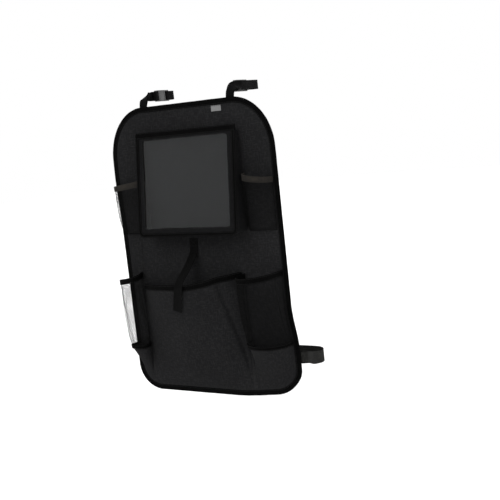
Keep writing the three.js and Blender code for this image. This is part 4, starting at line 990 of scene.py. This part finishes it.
def make_window_front(wall):
    top = wall.height - TAPE - GAP
    outer = rounded_loop(0, wall.width, 0, top,
                         (0.5, WINDOW_POCKET_CORNER, WINDOW_POCKET_CORNER, 0.5), 60)
    inner = rounded_loop(WINDOW_FRAME_SIDE, wall.width - WINDOW_FRAME_SIDE, WINDOW_FRAME_FOOT,
                         top - WINDOW_FRAME_TOP, (WINDOW_CORNER,) * 4, 60)
    rings = np.stack([mix(outer, inner, share) for share in np.linspace(0, 1, 7)])
    rings = np.concatenate([rings, rings[:, :1]], 1)
    lift = 0.25 * np.sin(rings[..., 0] / 23) * np.sin(rings[..., 1] / 31)
    points = wall.at(rings[..., 0], rings[..., 1], lift)
    quads = grid_quads(*rings.shape[:2])[:, ::-1]
    front = cloth("window_frame_cloth", points, quads, rings, CLOTH, BLACK_CANVAS)
    finish_piece(front, "canvas", "window_pocket_front")


def make_film(wall):
    top = wall.height - TAPE - GAP
    side, foot = WINDOW_FRAME_SIDE - WINDOW_OVERLAP, WINDOW_FRAME_FOOT - WINDOW_OVERLAP
    xx, yy = np.meshgrid(np.linspace(side, wall.width - side, 70), np.linspace(foot, top, 64))
    inside = np.minimum(np.minimum(xx - side, wall.width - side - xx),
                        np.minimum(yy - foot, top - yy))
    # slow waves that die away over 40 mm towards the seams, and never rise into the frame
    wave = wander(xx / 70, yy / 45, 2.0).reshape(xx.shape)
    bend = np.minimum(0.9 * wave * smooth(inside / 40), 0.2)
    points = wall.at(xx, yy, FILM_REAR + WINDOW_FILM / 2 + bend)
    cut = np.stack([xx, yy], -1)
    film = cloth("window_sheet", points, grid_quads(*xx.shape), cut, WINDOW_FILM, FILM)
    finish_piece(film, "clear_film", "window_film")


def make_frame_tape(wall):
    top = wall.height - MOUTH_TAPE_WIDTH - GAP
    width, corner, steps = FRAME_TAPE_WIDTH, WINDOW_POCKET_CORNER, 260
    outer, at = cradle(0, wall.width, 0, top, corner, steps)
    inner, _ = cradle(width, wall.width - width, width, top, corner - width, steps)
    rows = np.stack([mix(inner, outer, share) for share in (0, 0.08, 0.5, 0.92, 1)])
    crown = np.array([-0.15, 0, 0.1, 0, -0.15])[:, None] * np.ones((1, steps))
    points = wall.at(rows[..., 0], rows[..., 1], CLOTH / 2 + GAP + TAPE / 2 + crown)
    cut = np.stack(np.meshgrid(at, np.linspace(0, width, len(rows))), -1)
    quads = grid_quads(*rows.shape[:2])[:, ::-1]
    tape = cloth("frame_tape", points, quads, cut, TAPE, BINDING)
    finish_piece(tape, "binding_tape", "window_frame_tape")


def make_side_strip():
    """The folded strip that joins the window pocket's front to the panel."""
    steps, rows = 220, 12
    half = WINDOW_WIDTH / 2 - CLOTH / 2
    route, at = cradle(-half, half, WINDOW_FOOT + CLOTH / 2,
                       WINDOW_TOP - MOUTH_TAPE_WIDTH - SEAM_MARGIN,
                       WINDOW_POCKET_CORNER - CLOTH / 2, steps)
    near = PANEL_THICKNESS + GAP
    far = window_depth(route[:, 1]) - CLOTH / 2 - 2 * GAP
    shares = np.linspace(0, 1, rows)
    depth = mix(near, far[None, :], shares[:, None])
    outwards = unit(route - np.array([0, np.mean(route[:, 1])]))
    # it sinks in by a millimetre half way, more in some places than in others
    fold = np.sin(math.pi * shares)[:, None] * (-1.0 + 1.2 * wander(at / 26, 0, 5.0))[None, :]
    flat = route[None, :, :] + outwards[None, :, :] * fold[..., None]
    points = np.stack([flat[..., 0], -depth, flat[..., 1]], -1)
    cut = np.stack([np.repeat(at[None, :], rows, 0), depth], -1)
    strip = cloth("window_side_strip", points, grid_quads(rows, steps), cut, CLOTH, BLACK_CANVAS)
    finish_piece(strip, "canvas", "window_pocket_gusset")


def make_window_pocket():
    wall = window_wall()
    make_window_front(wall)
    make_film(wall)
    make_frame_tape(wall)
    folded_tape("window_mouth_binding", wall, FILM_REAR, CLOTH / 2,
                MOUTH_TAPE_WIDTH - TAPE - GAP, BINDING, "binding_tape", "window_mouth_tape")
    make_side_strip()


# ---- Wide pocket

def net_foot_column(net, left, right, share, rows):
    """A column of the cloth below a side net, from the panel's foot up to the net's foot."""
    seam = net.point(np.array(share), np.array(0.0))
    x = mix(left, right, share)
    up = np.linspace(0, 1, rows + 1)
    depth = mix(ON_PANEL, -seam[1], up ** NET_FOOT_SAG)
    z = mix(foot_line(x), seam[2] - GAP - CLOTH / 2, up)
    return np.stack([mix(x, seam[0], up), -depth, z], -1)


def wide_pocket_columns(wall, left_net, right_net, lower, upper):
    """Columns of points from the foot up: short ones below each net, full ones between them."""
    left = [net_foot_column(left_net, -POCKET_EDGE_X, LEFT_SEAM_X - SEAM_WIDTH / 2, share, lower)
            for share in np.linspace(0, 1, 40)]
    cloth_top = 1 - (TAPE + GAP) / wall.height
    middle = []
    for across in np.linspace(0, 1, 150):
        foot, mouth = wall.point(across, 0.0), wall.point(across, cloth_top)
        share = (foot[0] - WIDE_LEFT) / (WIDE_RIGHT - WIDE_LEFT)
        seam_z = mix(LEFT_NET_FOOT, RIGHT_NET_FOOT, share) - GAP - CLOTH / 2
        z = np.concatenate([np.linspace(foot[2], seam_z, lower + 1),
                            np.linspace(seam_z, mouth[2], upper + 1)[1:]])
        middle.append(np.stack([np.full(len(z), foot[0]), -wide_depth(share, z), z], -1))
    right = [net_foot_column(right_net, RIGHT_SEAM_X + SEAM_WIDTH / 2, POCKET_EDGE_X, share, lower)
             for share in np.linspace(0, 1, 52)]
    return left + middle + right, len(left), len(left) + len(middle) - 1


def wide_pocket_folds(points):
    """How far the wide pocket's cloth stands off its even bow, in soft folds and one crease."""
    share = (points[:, 0] - WIDE_LEFT) / (WIDE_RIGHT - WIDE_LEFT)
    height = np.clip((points[:, 2] - foot_line(points[:, 0])) / WIDE_CLOTH_HEIGHT, 0, 1)
    # the folds fade out at the seams, the foot and the mouth tape
    free = smooth(np.minimum(share, 1 - share) / 0.08)
    free = free * smooth(height / 0.12) * smooth((1 - height) / 0.1)
    stretch = points * np.array([1.0, 0.6, 0.45])
    folds = 1.0 * ripple(stretch, 48, 1.7) + 0.3 * ripple(points, 18, 4.1)
    down = (CREASE_TOP[1] - points[:, 2]) / (CREASE_TOP[1] - CREASE_FOOT[1])
    off = points[:, 0] - mix(CREASE_TOP[0], CREASE_FOOT[0], down)
    crease = CREASE_SWELL * np.exp(-(off / CREASE_SWELL_WIDTH) ** 2) * np.tanh(-off / CREASE_TURN)
    crease = crease - CREASE_GROOVE * np.exp(-(off / CREASE_GROOVE_WIDTH) ** 2)
    below_tape = wide_mouth_z(share) - MOUTH_TAPE_WIDTH - points[:, 2]
    creased = smooth(height / 0.05) * smooth(below_tape / 14) * smooth((1 - share) / 0.04)
    return folds * free + crease * creased


def make_wide_pocket(left_net, right_net):
    lower, upper = 34, 52
    wall = wide_wall()
    columns, first, last = wide_pocket_columns(wall, left_net, right_net, lower, upper)
    rows = lower + upper + 1
    grid = np.stack([np.concatenate([c, np.repeat(c[-1:], rows - len(c), 0)]) for c in columns], 1)
    kept = np.zeros((rows - 1, len(columns) - 1), bool)
    kept[:lower] = True
    kept[:, first:last] = True
    quads = grid_quads(rows, len(columns), kept)
    points = grid.reshape(-1, 3)
    points = points + normals_of(points, quads) * wide_pocket_folds(points)[:, None]
    wide = lengths_along(grid[lower])
    tall = np.linalg.norm(np.diff(grid, axis=0, prepend=grid[:1]), axis=2).cumsum(axis=0)
    cut = np.stack([np.broadcast_to(wide, tall.shape), tall], -1)
    pocket = cloth("wide_pocket_cloth", points, quads, cut, CLOTH, CANVAS)
    finish_piece(pocket, "canvas", "wide_pocket")
    folded_tape("wide_mouth_binding", wall, -CLOTH / 2, CLOTH / 2, MOUTH_TAPE_WIDTH - TAPE - GAP,
                BINDING, "binding_tape", "wide_pocket_mouth_tape")


def make_foot_tape(name, net, cad_node):
    half = NET_FOOT_TAPE_WIDTH / 2
    xx, yy = np.meshgrid(np.linspace(1.5, net.width - 1.5, int(net.width / 3)),
                         np.linspace(-half, half, 6))
    crown = FOOT_TAPE_CROWN * (1 - (yy / half) ** 2)
    points = net.at(xx, yy, CLOTH / 2 + 2 * GAP + TAPE / 2 + crown)
    cut = np.stack([xx, yy], -1)
    tape = cloth(name, points, grid_quads(*xx.shape), cut, TAPE, BINDING)
    finish_piece(tape, "binding_tape", cad_node)


# ---- Webbing

def curve_points(points):
    """Centripetal Catmull-Rom points through given points, with their directions."""
    p = np.asarray(points, float)
    p = np.concatenate([[2 * p[0] - p[1]], p, [2 * p[-1] - p[-2]]])
    out, ahead, spans = [], [], len(p) - 3
    for i in range(spans):
        p0, p1, p2, p3 = p[i:i + 4]
        d0, d1, d2 = (max(np.linalg.norm(b - a) ** 0.5, 1e-4)
                      for a, b in ((p0, p1), (p1, p2), (p2, p3)))
        t1 = ((p1 - p0) / d0 - (p2 - p0) / (d0 + d1) + (p2 - p1) / d1) * d1
        t2 = ((p2 - p1) / d1 - (p3 - p1) / (d1 + d2) + (p3 - p2) / d2) * d1
        square, cube = -3 * p1 + 3 * p2 - 2 * t1 - t2, 2 * p1 - 2 * p2 + t1 + t2
        last = None if i == spans - 1 else -1
        for t in np.linspace(0, 1, POINTS_PER_SPAN + 1)[:last]:
            out.append(p1 + t1 * t + square * t ** 2 + cube * t ** 3)
            ahead.append(t1 + 2 * square * t + 3 * cube * t ** 2)
    return np.array(out), unit(np.array(ahead))


def webbing(name, points, turns, width, finish, slot_name, cad_node, side=1):
    """Flat webbing along a route. A turn of 0 lays its width along X, and 1 stands it up."""
    centre, ahead = curve_points(points)
    t = np.arange(len(centre)) / POINTS_PER_SPAN
    span = np.minimum(t.astype(int), len(points) - 2)
    turns = np.asarray(turns, float)
    turn = mix(turns[span], turns[span + 1], smooth(t - span)) * math.pi / 2
    across = np.stack([side * np.cos(turn), np.zeros(len(t)), -np.sin(turn)], -1)
    across = unit(across - ahead * (across * ahead).sum(1)[:, None])
    out = np.cross(across, ahead)
    # the selvedges are a little fuller than the middle
    half, thick = width / 2, WEBBING / 2
    thin = thick - 0.12
    edge = [(half - 2.4, thin), (half - 1.6, thick), (half - 0.35, thick)]
    front = [(-a, b) for a, b in edge[::-1]] + [(0, thin)] + edge
    section = [(-half, 0), *front, (half, 0), *[(a, -b) for a, b in front[::-1]]]
    rings = np.stack([centre + across * a + out * b for a, b in section], 1)
    along = lengths_along(centre)
    cut = np.stack(np.meshgrid(along, [a for a, _ in section], indexing="ij"), -1)
    strap = loop_sweep(name, rings[:, ::-1], finish, cut[:, ::-1])
    finish_piece(strap, slot_name, cad_node)


def bar_turn(centre, towards, side):
    """Five points half way round a buckle's bar, from its one side over to the other."""
    radius = math.hypot(BUCKLE_BAR_THICKNESS / 2, BUCKLE_BAR / 2) + 2 * GAP + WEBBING / 2
    side, towards = np.array(side, float), np.array(towards, float)
    return [np.add(centre, radius * (math.cos(angle) * side + math.sin(angle) * towards))
            for angle in [math.pi * i / 4 for i in range(5)]]


def post_strap(side, name, cad_node):
    """The long strap of a post loop: up from the panel, back round the post and to the plug."""
    x, z, edge = POST_LOOP_X, POST_LOOP_Z, PANEL_HEIGHT / 2
    outer, inner = x + POST_LOOP_RADIUS, x - POST_LOOP_RADIUS
    bar = (inner, TOP_MOUTH_Y - PLUG_BAR_Y, z)
    points = [(x, BEHIND_FIRST, edge - SEWN_LENGTH), (x, BEHIND_FIRST, edge - SEWN_LENGTH / 2),
              (x, BEHIND_FIRST, edge - 2), (x, BEHIND_FIRST + GAP, edge + 3),
              (mix(x, outer, 0.05), BEHIND_FIRST + 4, z - 9),
              (mix(x, outer, 0.3), BEHIND_FIRST + 14, z - 0.5),
              (mix(x, outer, 0.7), BEHIND_FIRST + 27, z + 1), (outer, BEHIND_FIRST + 40, z),
              (outer, mix(BEHIND_FIRST + 40, POST_LOOP_REACH, 0.6), z)]
    turns = [0, 0, 0, 0, 0.05, 0.28, 0.67, 1, 1]
    for i in range(7):
        angle = math.pi * i / 6
        points.append((x + POST_LOOP_RADIUS * math.cos(angle),
                       POST_LOOP_REACH + POST_LOOP_RADIUS * math.sin(angle), z))
    turn = bar_turn(bar, (0, -1, 0), (1, 0, 0))
    tail_x = 2 * inner - turn[0][0] - GAP
    points += [(turn[0][0], bar[1] + BAR_CLEARANCE, z), *turn,
               (tail_x, bar[1] + BAR_CLEARANCE, z), (tail_x, POST_LOOP_REACH, z)]
    points = [(side * p[0], p[1], p[2]) for p in points]
    turns += [1] * (len(points) - len(turns))
    webbing(name, points, turns, TOP_WEBBING_WIDTH, WEBBING_CLOTH, "webbing", cad_node, side)


def post_tab(side, name, cad_node):
    """The short tab of a post loop: up from the panel and round the socket's bar."""
    x, z, edge = POST_LOOP_X, POST_LOOP_Z, PANEL_HEIGHT / 2
    bar = (x - POST_LOOP_RADIUS, TOP_MOUTH_Y - SOCKET_BAR_Y - BUCKLE_BAR / 2, z)
    turn = bar_turn(bar, (0, 1, 0), (1, 0, 0))
    start, end = turn[0], turn[-1]

    def back(share):
        return mix(BEHIND_SECOND, bar[1], share)

    points = [(x, BEHIND_SECOND, edge - SEWN_LENGTH), (x, BEHIND_SECOND, edge - SEWN_LENGTH / 2),
              (x, BEHIND_SECOND, edge - 3), (x, BEHIND_SECOND + GAP, edge + 2),
              (mix(x, start[0], 0.08), BEHIND_SECOND + 3.5, z - 14),
              (mix(x, start[0], 0.42), back(0.28), z - 8),
              (mix(x, start[0], 0.85), back(0.5), z - 2), (start[0], back(0.72), z), *turn,
              (mix(end[0], start[0], 0.1), back(0.88), z),
              (mix(end[0], start[0], 0.55), back(0.77), z)]
    points = [(side * p[0], p[1], p[2]) for p in points]
    turns = [0, 0, 0, 0, 0.02, 0.25, 0.7] + [1] * (len(points) - 7)
    webbing(name, points, turns, TOP_WEBBING_WIDTH, WEBBING_CLOTH, "webbing", cad_node, side)


def belt_half(side, bar_x, tail, name, cad_node):
    """Half of the belt: from the panel's side round behind it, and round a buckle's bar."""
    edge, low, corner = PANEL_WIDTH / 2, BELT_Z - BELT_DROP, BELT_SIDE_X - BELT_CORNER
    turn = bar_turn((bar_x, BELT_REACH, low), (-side, 0, 0), (0, -1, 0))
    start, end = turn[0], turn[-1]
    points = [(side * (edge - SEWN_LENGTH), BEHIND_FIRST, BELT_Z),
              (side * (edge - SEWN_LENGTH / 2), BEHIND_FIRST, BELT_Z),
              (side * (edge - 2), BEHIND_FIRST, BELT_Z),
              (side * (edge + 3), BEHIND_FIRST + GAP, BELT_Z),
              (side * (BELT_SIDE_X - 2), BEHIND_FIRST + 7, BELT_Z - 1),
              (side * BELT_SIDE_X, BEHIND_FIRST + 22, mix(BELT_Z, low, 0.2)),
              (side * BELT_SIDE_X, mix(BEHIND_FIRST, start[1], 0.5), mix(BELT_Z, low, 0.7))]
    for i in range(5):
        angle = math.pi * i / 8
        points.append((side * (corner + BELT_CORNER * math.cos(angle)),
                       start[1] - BELT_CORNER + BELT_CORNER * math.sin(angle), low))
    layer = mix(start[1], end[1], 0.32)
    points += [(mix(side * corner, start[0], 0.5), start[1], low), *turn,
               (bar_x + side * BAR_CLEARANCE, end[1], low),
               (bar_x + side * 2 * BAR_CLEARANCE, layer, low), (bar_x + side * tail, layer, low)]
    webbing(name, points, [1] * len(points), BELT_WIDTH, BELT_CLOTH, "belt_webbing", cad_node)


def wide_front_at(x, z):
    """How far the middle of the wide pocket's cloth stands in front of the panel's rear."""
    return wide_depth((x - WIDE_LEFT) / (WIDE_RIGHT - WIDE_LEFT), z)


# The closure's layers in front of the middle of the pocket's cloth
LOOP_PATCH_REAR = CLOTH / 2 + 2 * GAP
HOOK_PATCH_REAR = LOOP_PATCH_REAR + PATCH + GAP
CLOSURE_MIDDLE = HOOK_PATCH_REAR + PATCH + 2 * GAP + WEBBING / 2


def strap_x(z, mouth_z):
    """Where the closure strap's middle lies below the pocket's mouth."""
    down = np.clip((mouth_z - z) / (mouth_z - CLOSURE_END), 0, 1)
    return CLOSURE_END_X - CLOSURE_SLANT * down


def make_patch(name, rear, mouth_z, cad_node):
    """A patch of closure tape, its rear the given distance in front of the pocket's cloth."""
    half = (CLOSURE_WIDTH - 2) / 2
    z = CLOSURE_END + 2 + np.linspace(0, PATCH_HEIGHT, 18)
    xx, zz = np.meshgrid(np.linspace(-half, half, 12), z)
    depth = wide_front_at(CLOSURE_END_X, zz)
    slope = np.gradient(depth[:, 0], z)[:, None] * np.ones_like(xx)
    lean = unit(np.stack([np.zeros_like(xx), -np.ones_like(xx), -slope], -1))
    points = np.stack([strap_x(zz, mouth_z) + xx, -depth, zz], -1) + lean * (rear + PATCH / 2)
    cut = np.stack([xx, zz], -1)
    made = cloth(name, points, grid_quads(*xx.shape), cut, PATCH, CLOSURE_TAPE)
    finish_piece(made, "closure_tape", cad_node)


def make_closure():
    mouth_z = wide_mouth_z((CLOSURE_END_X - WIDE_LEFT) / (WIDE_RIGHT - WIDE_LEFT))
    mouth_depth = wide_front_at(CLOSURE_END_X, mouth_z)
    on_panel = PANEL_THICKNESS + 2 * GAP + WEBBING / 2
    # from the panel over the mouth: share of the way across, distance from the rear, height
    bridge = [(0, on_panel, CLOSURE_TOP), (0.05, on_panel, CLOSURE_TOP / 2),
              (0.15, on_panel + 1, CLOSURE_TOP / 2 - 14),
              (0.35, mix(on_panel, mouth_depth, 0.22), mouth_z + 50),
              (0.6, mix(on_panel, mouth_depth, 0.62), mouth_z + 27),
              (0.85, mouth_depth - 2, mouth_z + 9),
              (0.95, mouth_depth + CLOSURE_MIDDLE, mouth_z - 2)]
    points = [(mix(CLOSURE_TOP_X, CLOSURE_END_X, share), -depth, z) for share, depth, z in bridge]
    for i in range(1, 5):
        z = mix(mouth_z - 2, CLOSURE_END, i / 4)
        depth = wide_front_at(CLOSURE_END_X, z) + CLOSURE_MIDDLE
        points.append((strap_x(z, mouth_z), -depth, z))
    webbing("closure_webbing", points, [0] * len(points), CLOSURE_WIDTH, WEBBING_CLOTH, "webbing",
            "closure_strap")
    make_patch("hook_patch", HOOK_PATCH_REAR, mouth_z, "closure_hook_patch")
    make_patch("loop_patch", LOOP_PATCH_REAR, mouth_z, "closure_loop_patch")


def make_label():
    top, half = PANEL_HEIGHT / 2 - TAPE_WIDTH - SEAM_MARGIN, LABEL_WIDTH / 2
    xx, zz = np.meshgrid(np.linspace(LABEL_X - half, LABEL_X + half, 26),
                         np.linspace(top - LABEL_HEIGHT, top, 14))
    # the free lower edge curls forward by a quarter of a millimetre
    curl = 0.25 * ((zz - zz.mean()) / 6) ** 2 * (zz < zz.mean())
    points = np.stack([xx, -(PANEL_THICKNESS + GAP + LABEL_THICKNESS / 2 + curl), zz], -1)
    cut = np.stack([xx, zz], -1)
    tag = cloth("woven_tag", points, grid_quads(*xx.shape), cut, LABEL_THICKNESS, LABEL_SATIN)
    finish_piece(tag, "label_cloth", "label")


# ---- Buckles

def make_buckle_half(cad_node):
    """The CAD half with its edges rounded as a moulding's are."""
    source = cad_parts[cad_node]
    mesh = source.data.copy()
    mesh.name = cad_node + "_moulding"
    work = bmesh.new()
    work.from_mesh(mesh)
    bmesh.ops.remove_doubles(work, verts=work.verts, dist=0.02 * MM)
    bmesh.ops.dissolve_limit(work, angle_limit=math.radians(1), verts=work.verts, edges=work.edges)
    work.to_mesh(mesh)
    work.free()
    mesh.materials.clear()
    mesh.materials.append(ACETAL)
    mesh.shade_smooth()
    made = add_object(cad_node + "_moulding", mesh)
    rounding = made.modifiers.new("moulded_edges", "BEVEL")
    rounding.width = 0.35 * MM
    rounding.segments = 2
    rounding.limit_method = "ANGLE"
    rounding.angle_limit = math.radians(35)
    rounding.harden_normals = True
    finish_piece(made, "buckle_plastic", cad_node)


# ---- Stitching

def make_stitching(name, runs):
    """Rows of stitches along the runs."""
    points, lines = [], []
    for run in runs:
        base = len(points)
        points += [tuple(p) for p in run]
        lines += [(base + i, base + i + 1) for i in range(len(run) - 1)]
    stitch = {"Stitch pitch": STITCH_PITCH * MM, "Stitch length": STITCH_LENGTH * MM,
              "Thread width": STITCH_WIDTH * MM}
    thread = grown(name, points, lines, STITCHES, stitch, THREAD)
    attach(thread, "root")


def wall_run(wall, height, offset, start=1.5):
    """A level run of stitching on a wall, from one end of it to the other."""
    x = np.linspace(start, wall.width - start, int(wall.width / 4))
    return wall.at(x, np.full(len(x), float(height)), np.full(len(x), float(offset)))


def panel_seam(x0, z0, x1, z1):
    """A straight run of stitching on the panel's front."""
    share = np.linspace(0, 1, 40)
    face = -(PANEL_THICKNESS + PANEL_STITCH_RISE)
    return np.stack([mix(x0, x1, share), np.full(len(share), face), mix(z0, z1, share)], -1)


def sew_edge():
    """A row near the inner edge of the edge tape, on the front and on the rear."""
    outline, inward, _ = outline_points(4.0)
    run = outline + inward * (TAPE_WIDTH - EDGE_ROW_INSET)
    run = np.concatenate([run, run[:1]])
    rise = GAP + TAPE + 0.05
    make_stitching("edge_stitching", [
        np.stack([run[:, 0], np.full(len(run), y), run[:, 1]], -1)
        for y in (-(PANEL_THICKNESS + rise), rise - EDGE_RECESS)])


def sew_mouths(walls):
    """Two rows along each mouth tape."""
    face = CLOTH / 2 + GAP + TAPE + STITCH_RISE
    make_stitching("mouth_stitching", [
        wall_run(wall, wall.height - drop, face)
        for wall in walls for drop in (MOUTH_ROW_INSET, MOUTH_TAPE_WIDTH - MOUTH_ROW_INSET)])


def sew_feet(nets):
    """Two rows along each foot tape."""
    half = NET_FOOT_TAPE_WIDTH / 2 - NARROW_ROW_INSET
    face = CLOTH / 2 + 2 * GAP + TAPE + FOOT_TAPE_CROWN
    make_stitching("foot_tape_stitching", [
        wall_run(net, height, face, 3) for net in nets for height in (-half, half)])


def sew_window():
    """Two rows along the tape round the window pocket, and one round the window."""
    wall, rows = window_wall(), []
    for inset in (NARROW_ROW_INSET, FRAME_TAPE_WIDTH - NARROW_ROW_INSET):
        run, _ = cradle(inset, wall.width - inset, inset, wall.height - MOUTH_TAPE_WIDTH - 1,
                        WINDOW_POCKET_CORNER - inset, 170)
        face = CLOTH / 2 + GAP + TAPE + STITCH_RISE
        rows.append(wall.at(run[:, 0], run[:, 1], np.full(len(run), face)))
    inset = WINDOW_FRAME_SIDE - HEM_ROW_INSET
    hem = rounded_loop(inset, wall.width - inset, WINDOW_FRAME_FOOT - HEM_ROW_INSET,
                       wall.height - WINDOW_FRAME_TOP + 1, (WINDOW_CORNER + HEM_ROW_INSET,) * 4,
                       40)
    hem = np.concatenate([hem, hem[:1]])
    rows.append(wall.at(hem[:, 0], hem[:, 1], np.full(len(hem), CLOTH / 2 + STITCH_RISE)))
    make_stitching("window_stitching", rows)


def sew_panel():
    """The double seams beside the wide pocket, the closure strap's boxed cross and the label."""
    rows, pair = [], (-SEAM_ROW_OFFSET, SEAM_ROW_OFFSET)
    for x, top, foot in ((LEFT_SEAM_X, WIDE_LEFT_MOUTH + 6, LEFT_NET_FOOT),
                         (RIGHT_SEAM_X, WIDE_RIGHT_MOUTH + 4, RIGHT_NET_FOOT)):
        rows += [panel_seam(x + aside, top, x + aside, foot) for aside in pair]
    rows += [panel_seam(LEFT_PANEL_SEAM + aside, WINDOW_FOOT, LEFT_SEAM_X + aside,
                        WIDE_LEFT_MOUTH + 12) for aside in pair]
    half, face = CLOSURE_WIDTH / 2 - 2, -(PANEL_THICKNESS + 2 * GAP + WEBBING + STITCH_RISE)
    left, right = CLOSURE_TOP_X - half, CLOSURE_TOP_X + half
    low, high = CLOSURE_TOP - 17, CLOSURE_TOP - 2
    box = [(left, face, low), (right, face, low), (right, face, high), (left, face, high)]
    rows += [box + [box[0], box[2]], [box[3], box[1]]]
    half, top = LABEL_WIDTH / 2 - 1, PANEL_HEIGHT / 2 - TAPE_WIDTH - SEAM_MARGIN - 1
    face = -(PANEL_THICKNESS + GAP + LABEL_THICKNESS + STITCH_RISE)
    rows.append([(LABEL_X - half, face, top), (LABEL_X + half, face, top)])
    make_stitching("seam_stitching", rows)


# ---- The whole organizer

make_panel()
make_edge_tape()
make_label()
make_window_pocket()
left_net, right_net = side_net_walls()
upper_left, upper_right = small_net_walls()
for wall, name, finish, slot_name, fold in (
        (upper_left, "upper_left", UPPER_BAND, "upper_band", UPPER_NET_FOLD),
        (upper_right, "upper_right", UPPER_BAND, "upper_band", UPPER_NET_FOLD),
        (left_net, "lower_left", BINDING, "binding_tape", LEFT_NET_FOLD),
        (right_net, "lower_right", BINDING, "binding_tape", RIGHT_NET_FOLD)):
    make_net(name + "_mesh", wall, name + "_net", fold)
    folded_tape(name + "_binding", wall, -CLOTH / 2, CLOTH / 2, MOUTH_GRIP, finish, slot_name,
                name + "_band")
make_wide_pocket(left_net, right_net)
make_foot_tape("lower_left_foot_binding", left_net, "lower_left_foot_tape")
make_foot_tape("lower_right_foot_binding", right_net, "lower_right_foot_tape")
make_closure()
for side, name in ((-1, "top_left"), (1, "top_right")):
    post_strap(side, name + "_webbing", name + "_strap")
    post_tab(side, name + "_tab_webbing", name + "_tab")
belt_half(-1, BELT_BUCKLE_X - SOCKET_BAR_Y - BUCKLE_BAR / 2, BELT_LEFT_TAIL, "belt_left_webbing",
          "belt_left")
belt_half(1, BELT_BUCKLE_X - PLUG_BAR_Y, BELT_RIGHT_TAIL, "belt_right_webbing", "belt_right")
for buckle in ("top_left", "top_right", "belt"):
    make_buckle_half(buckle + "_socket")
    make_buckle_half(buckle + "_plug")
sew_edge()
sew_mouths((upper_left, upper_right, left_net, right_net, wide_wall(), window_wall()))
sew_feet((left_net, right_net))
sew_window()
sew_panel()
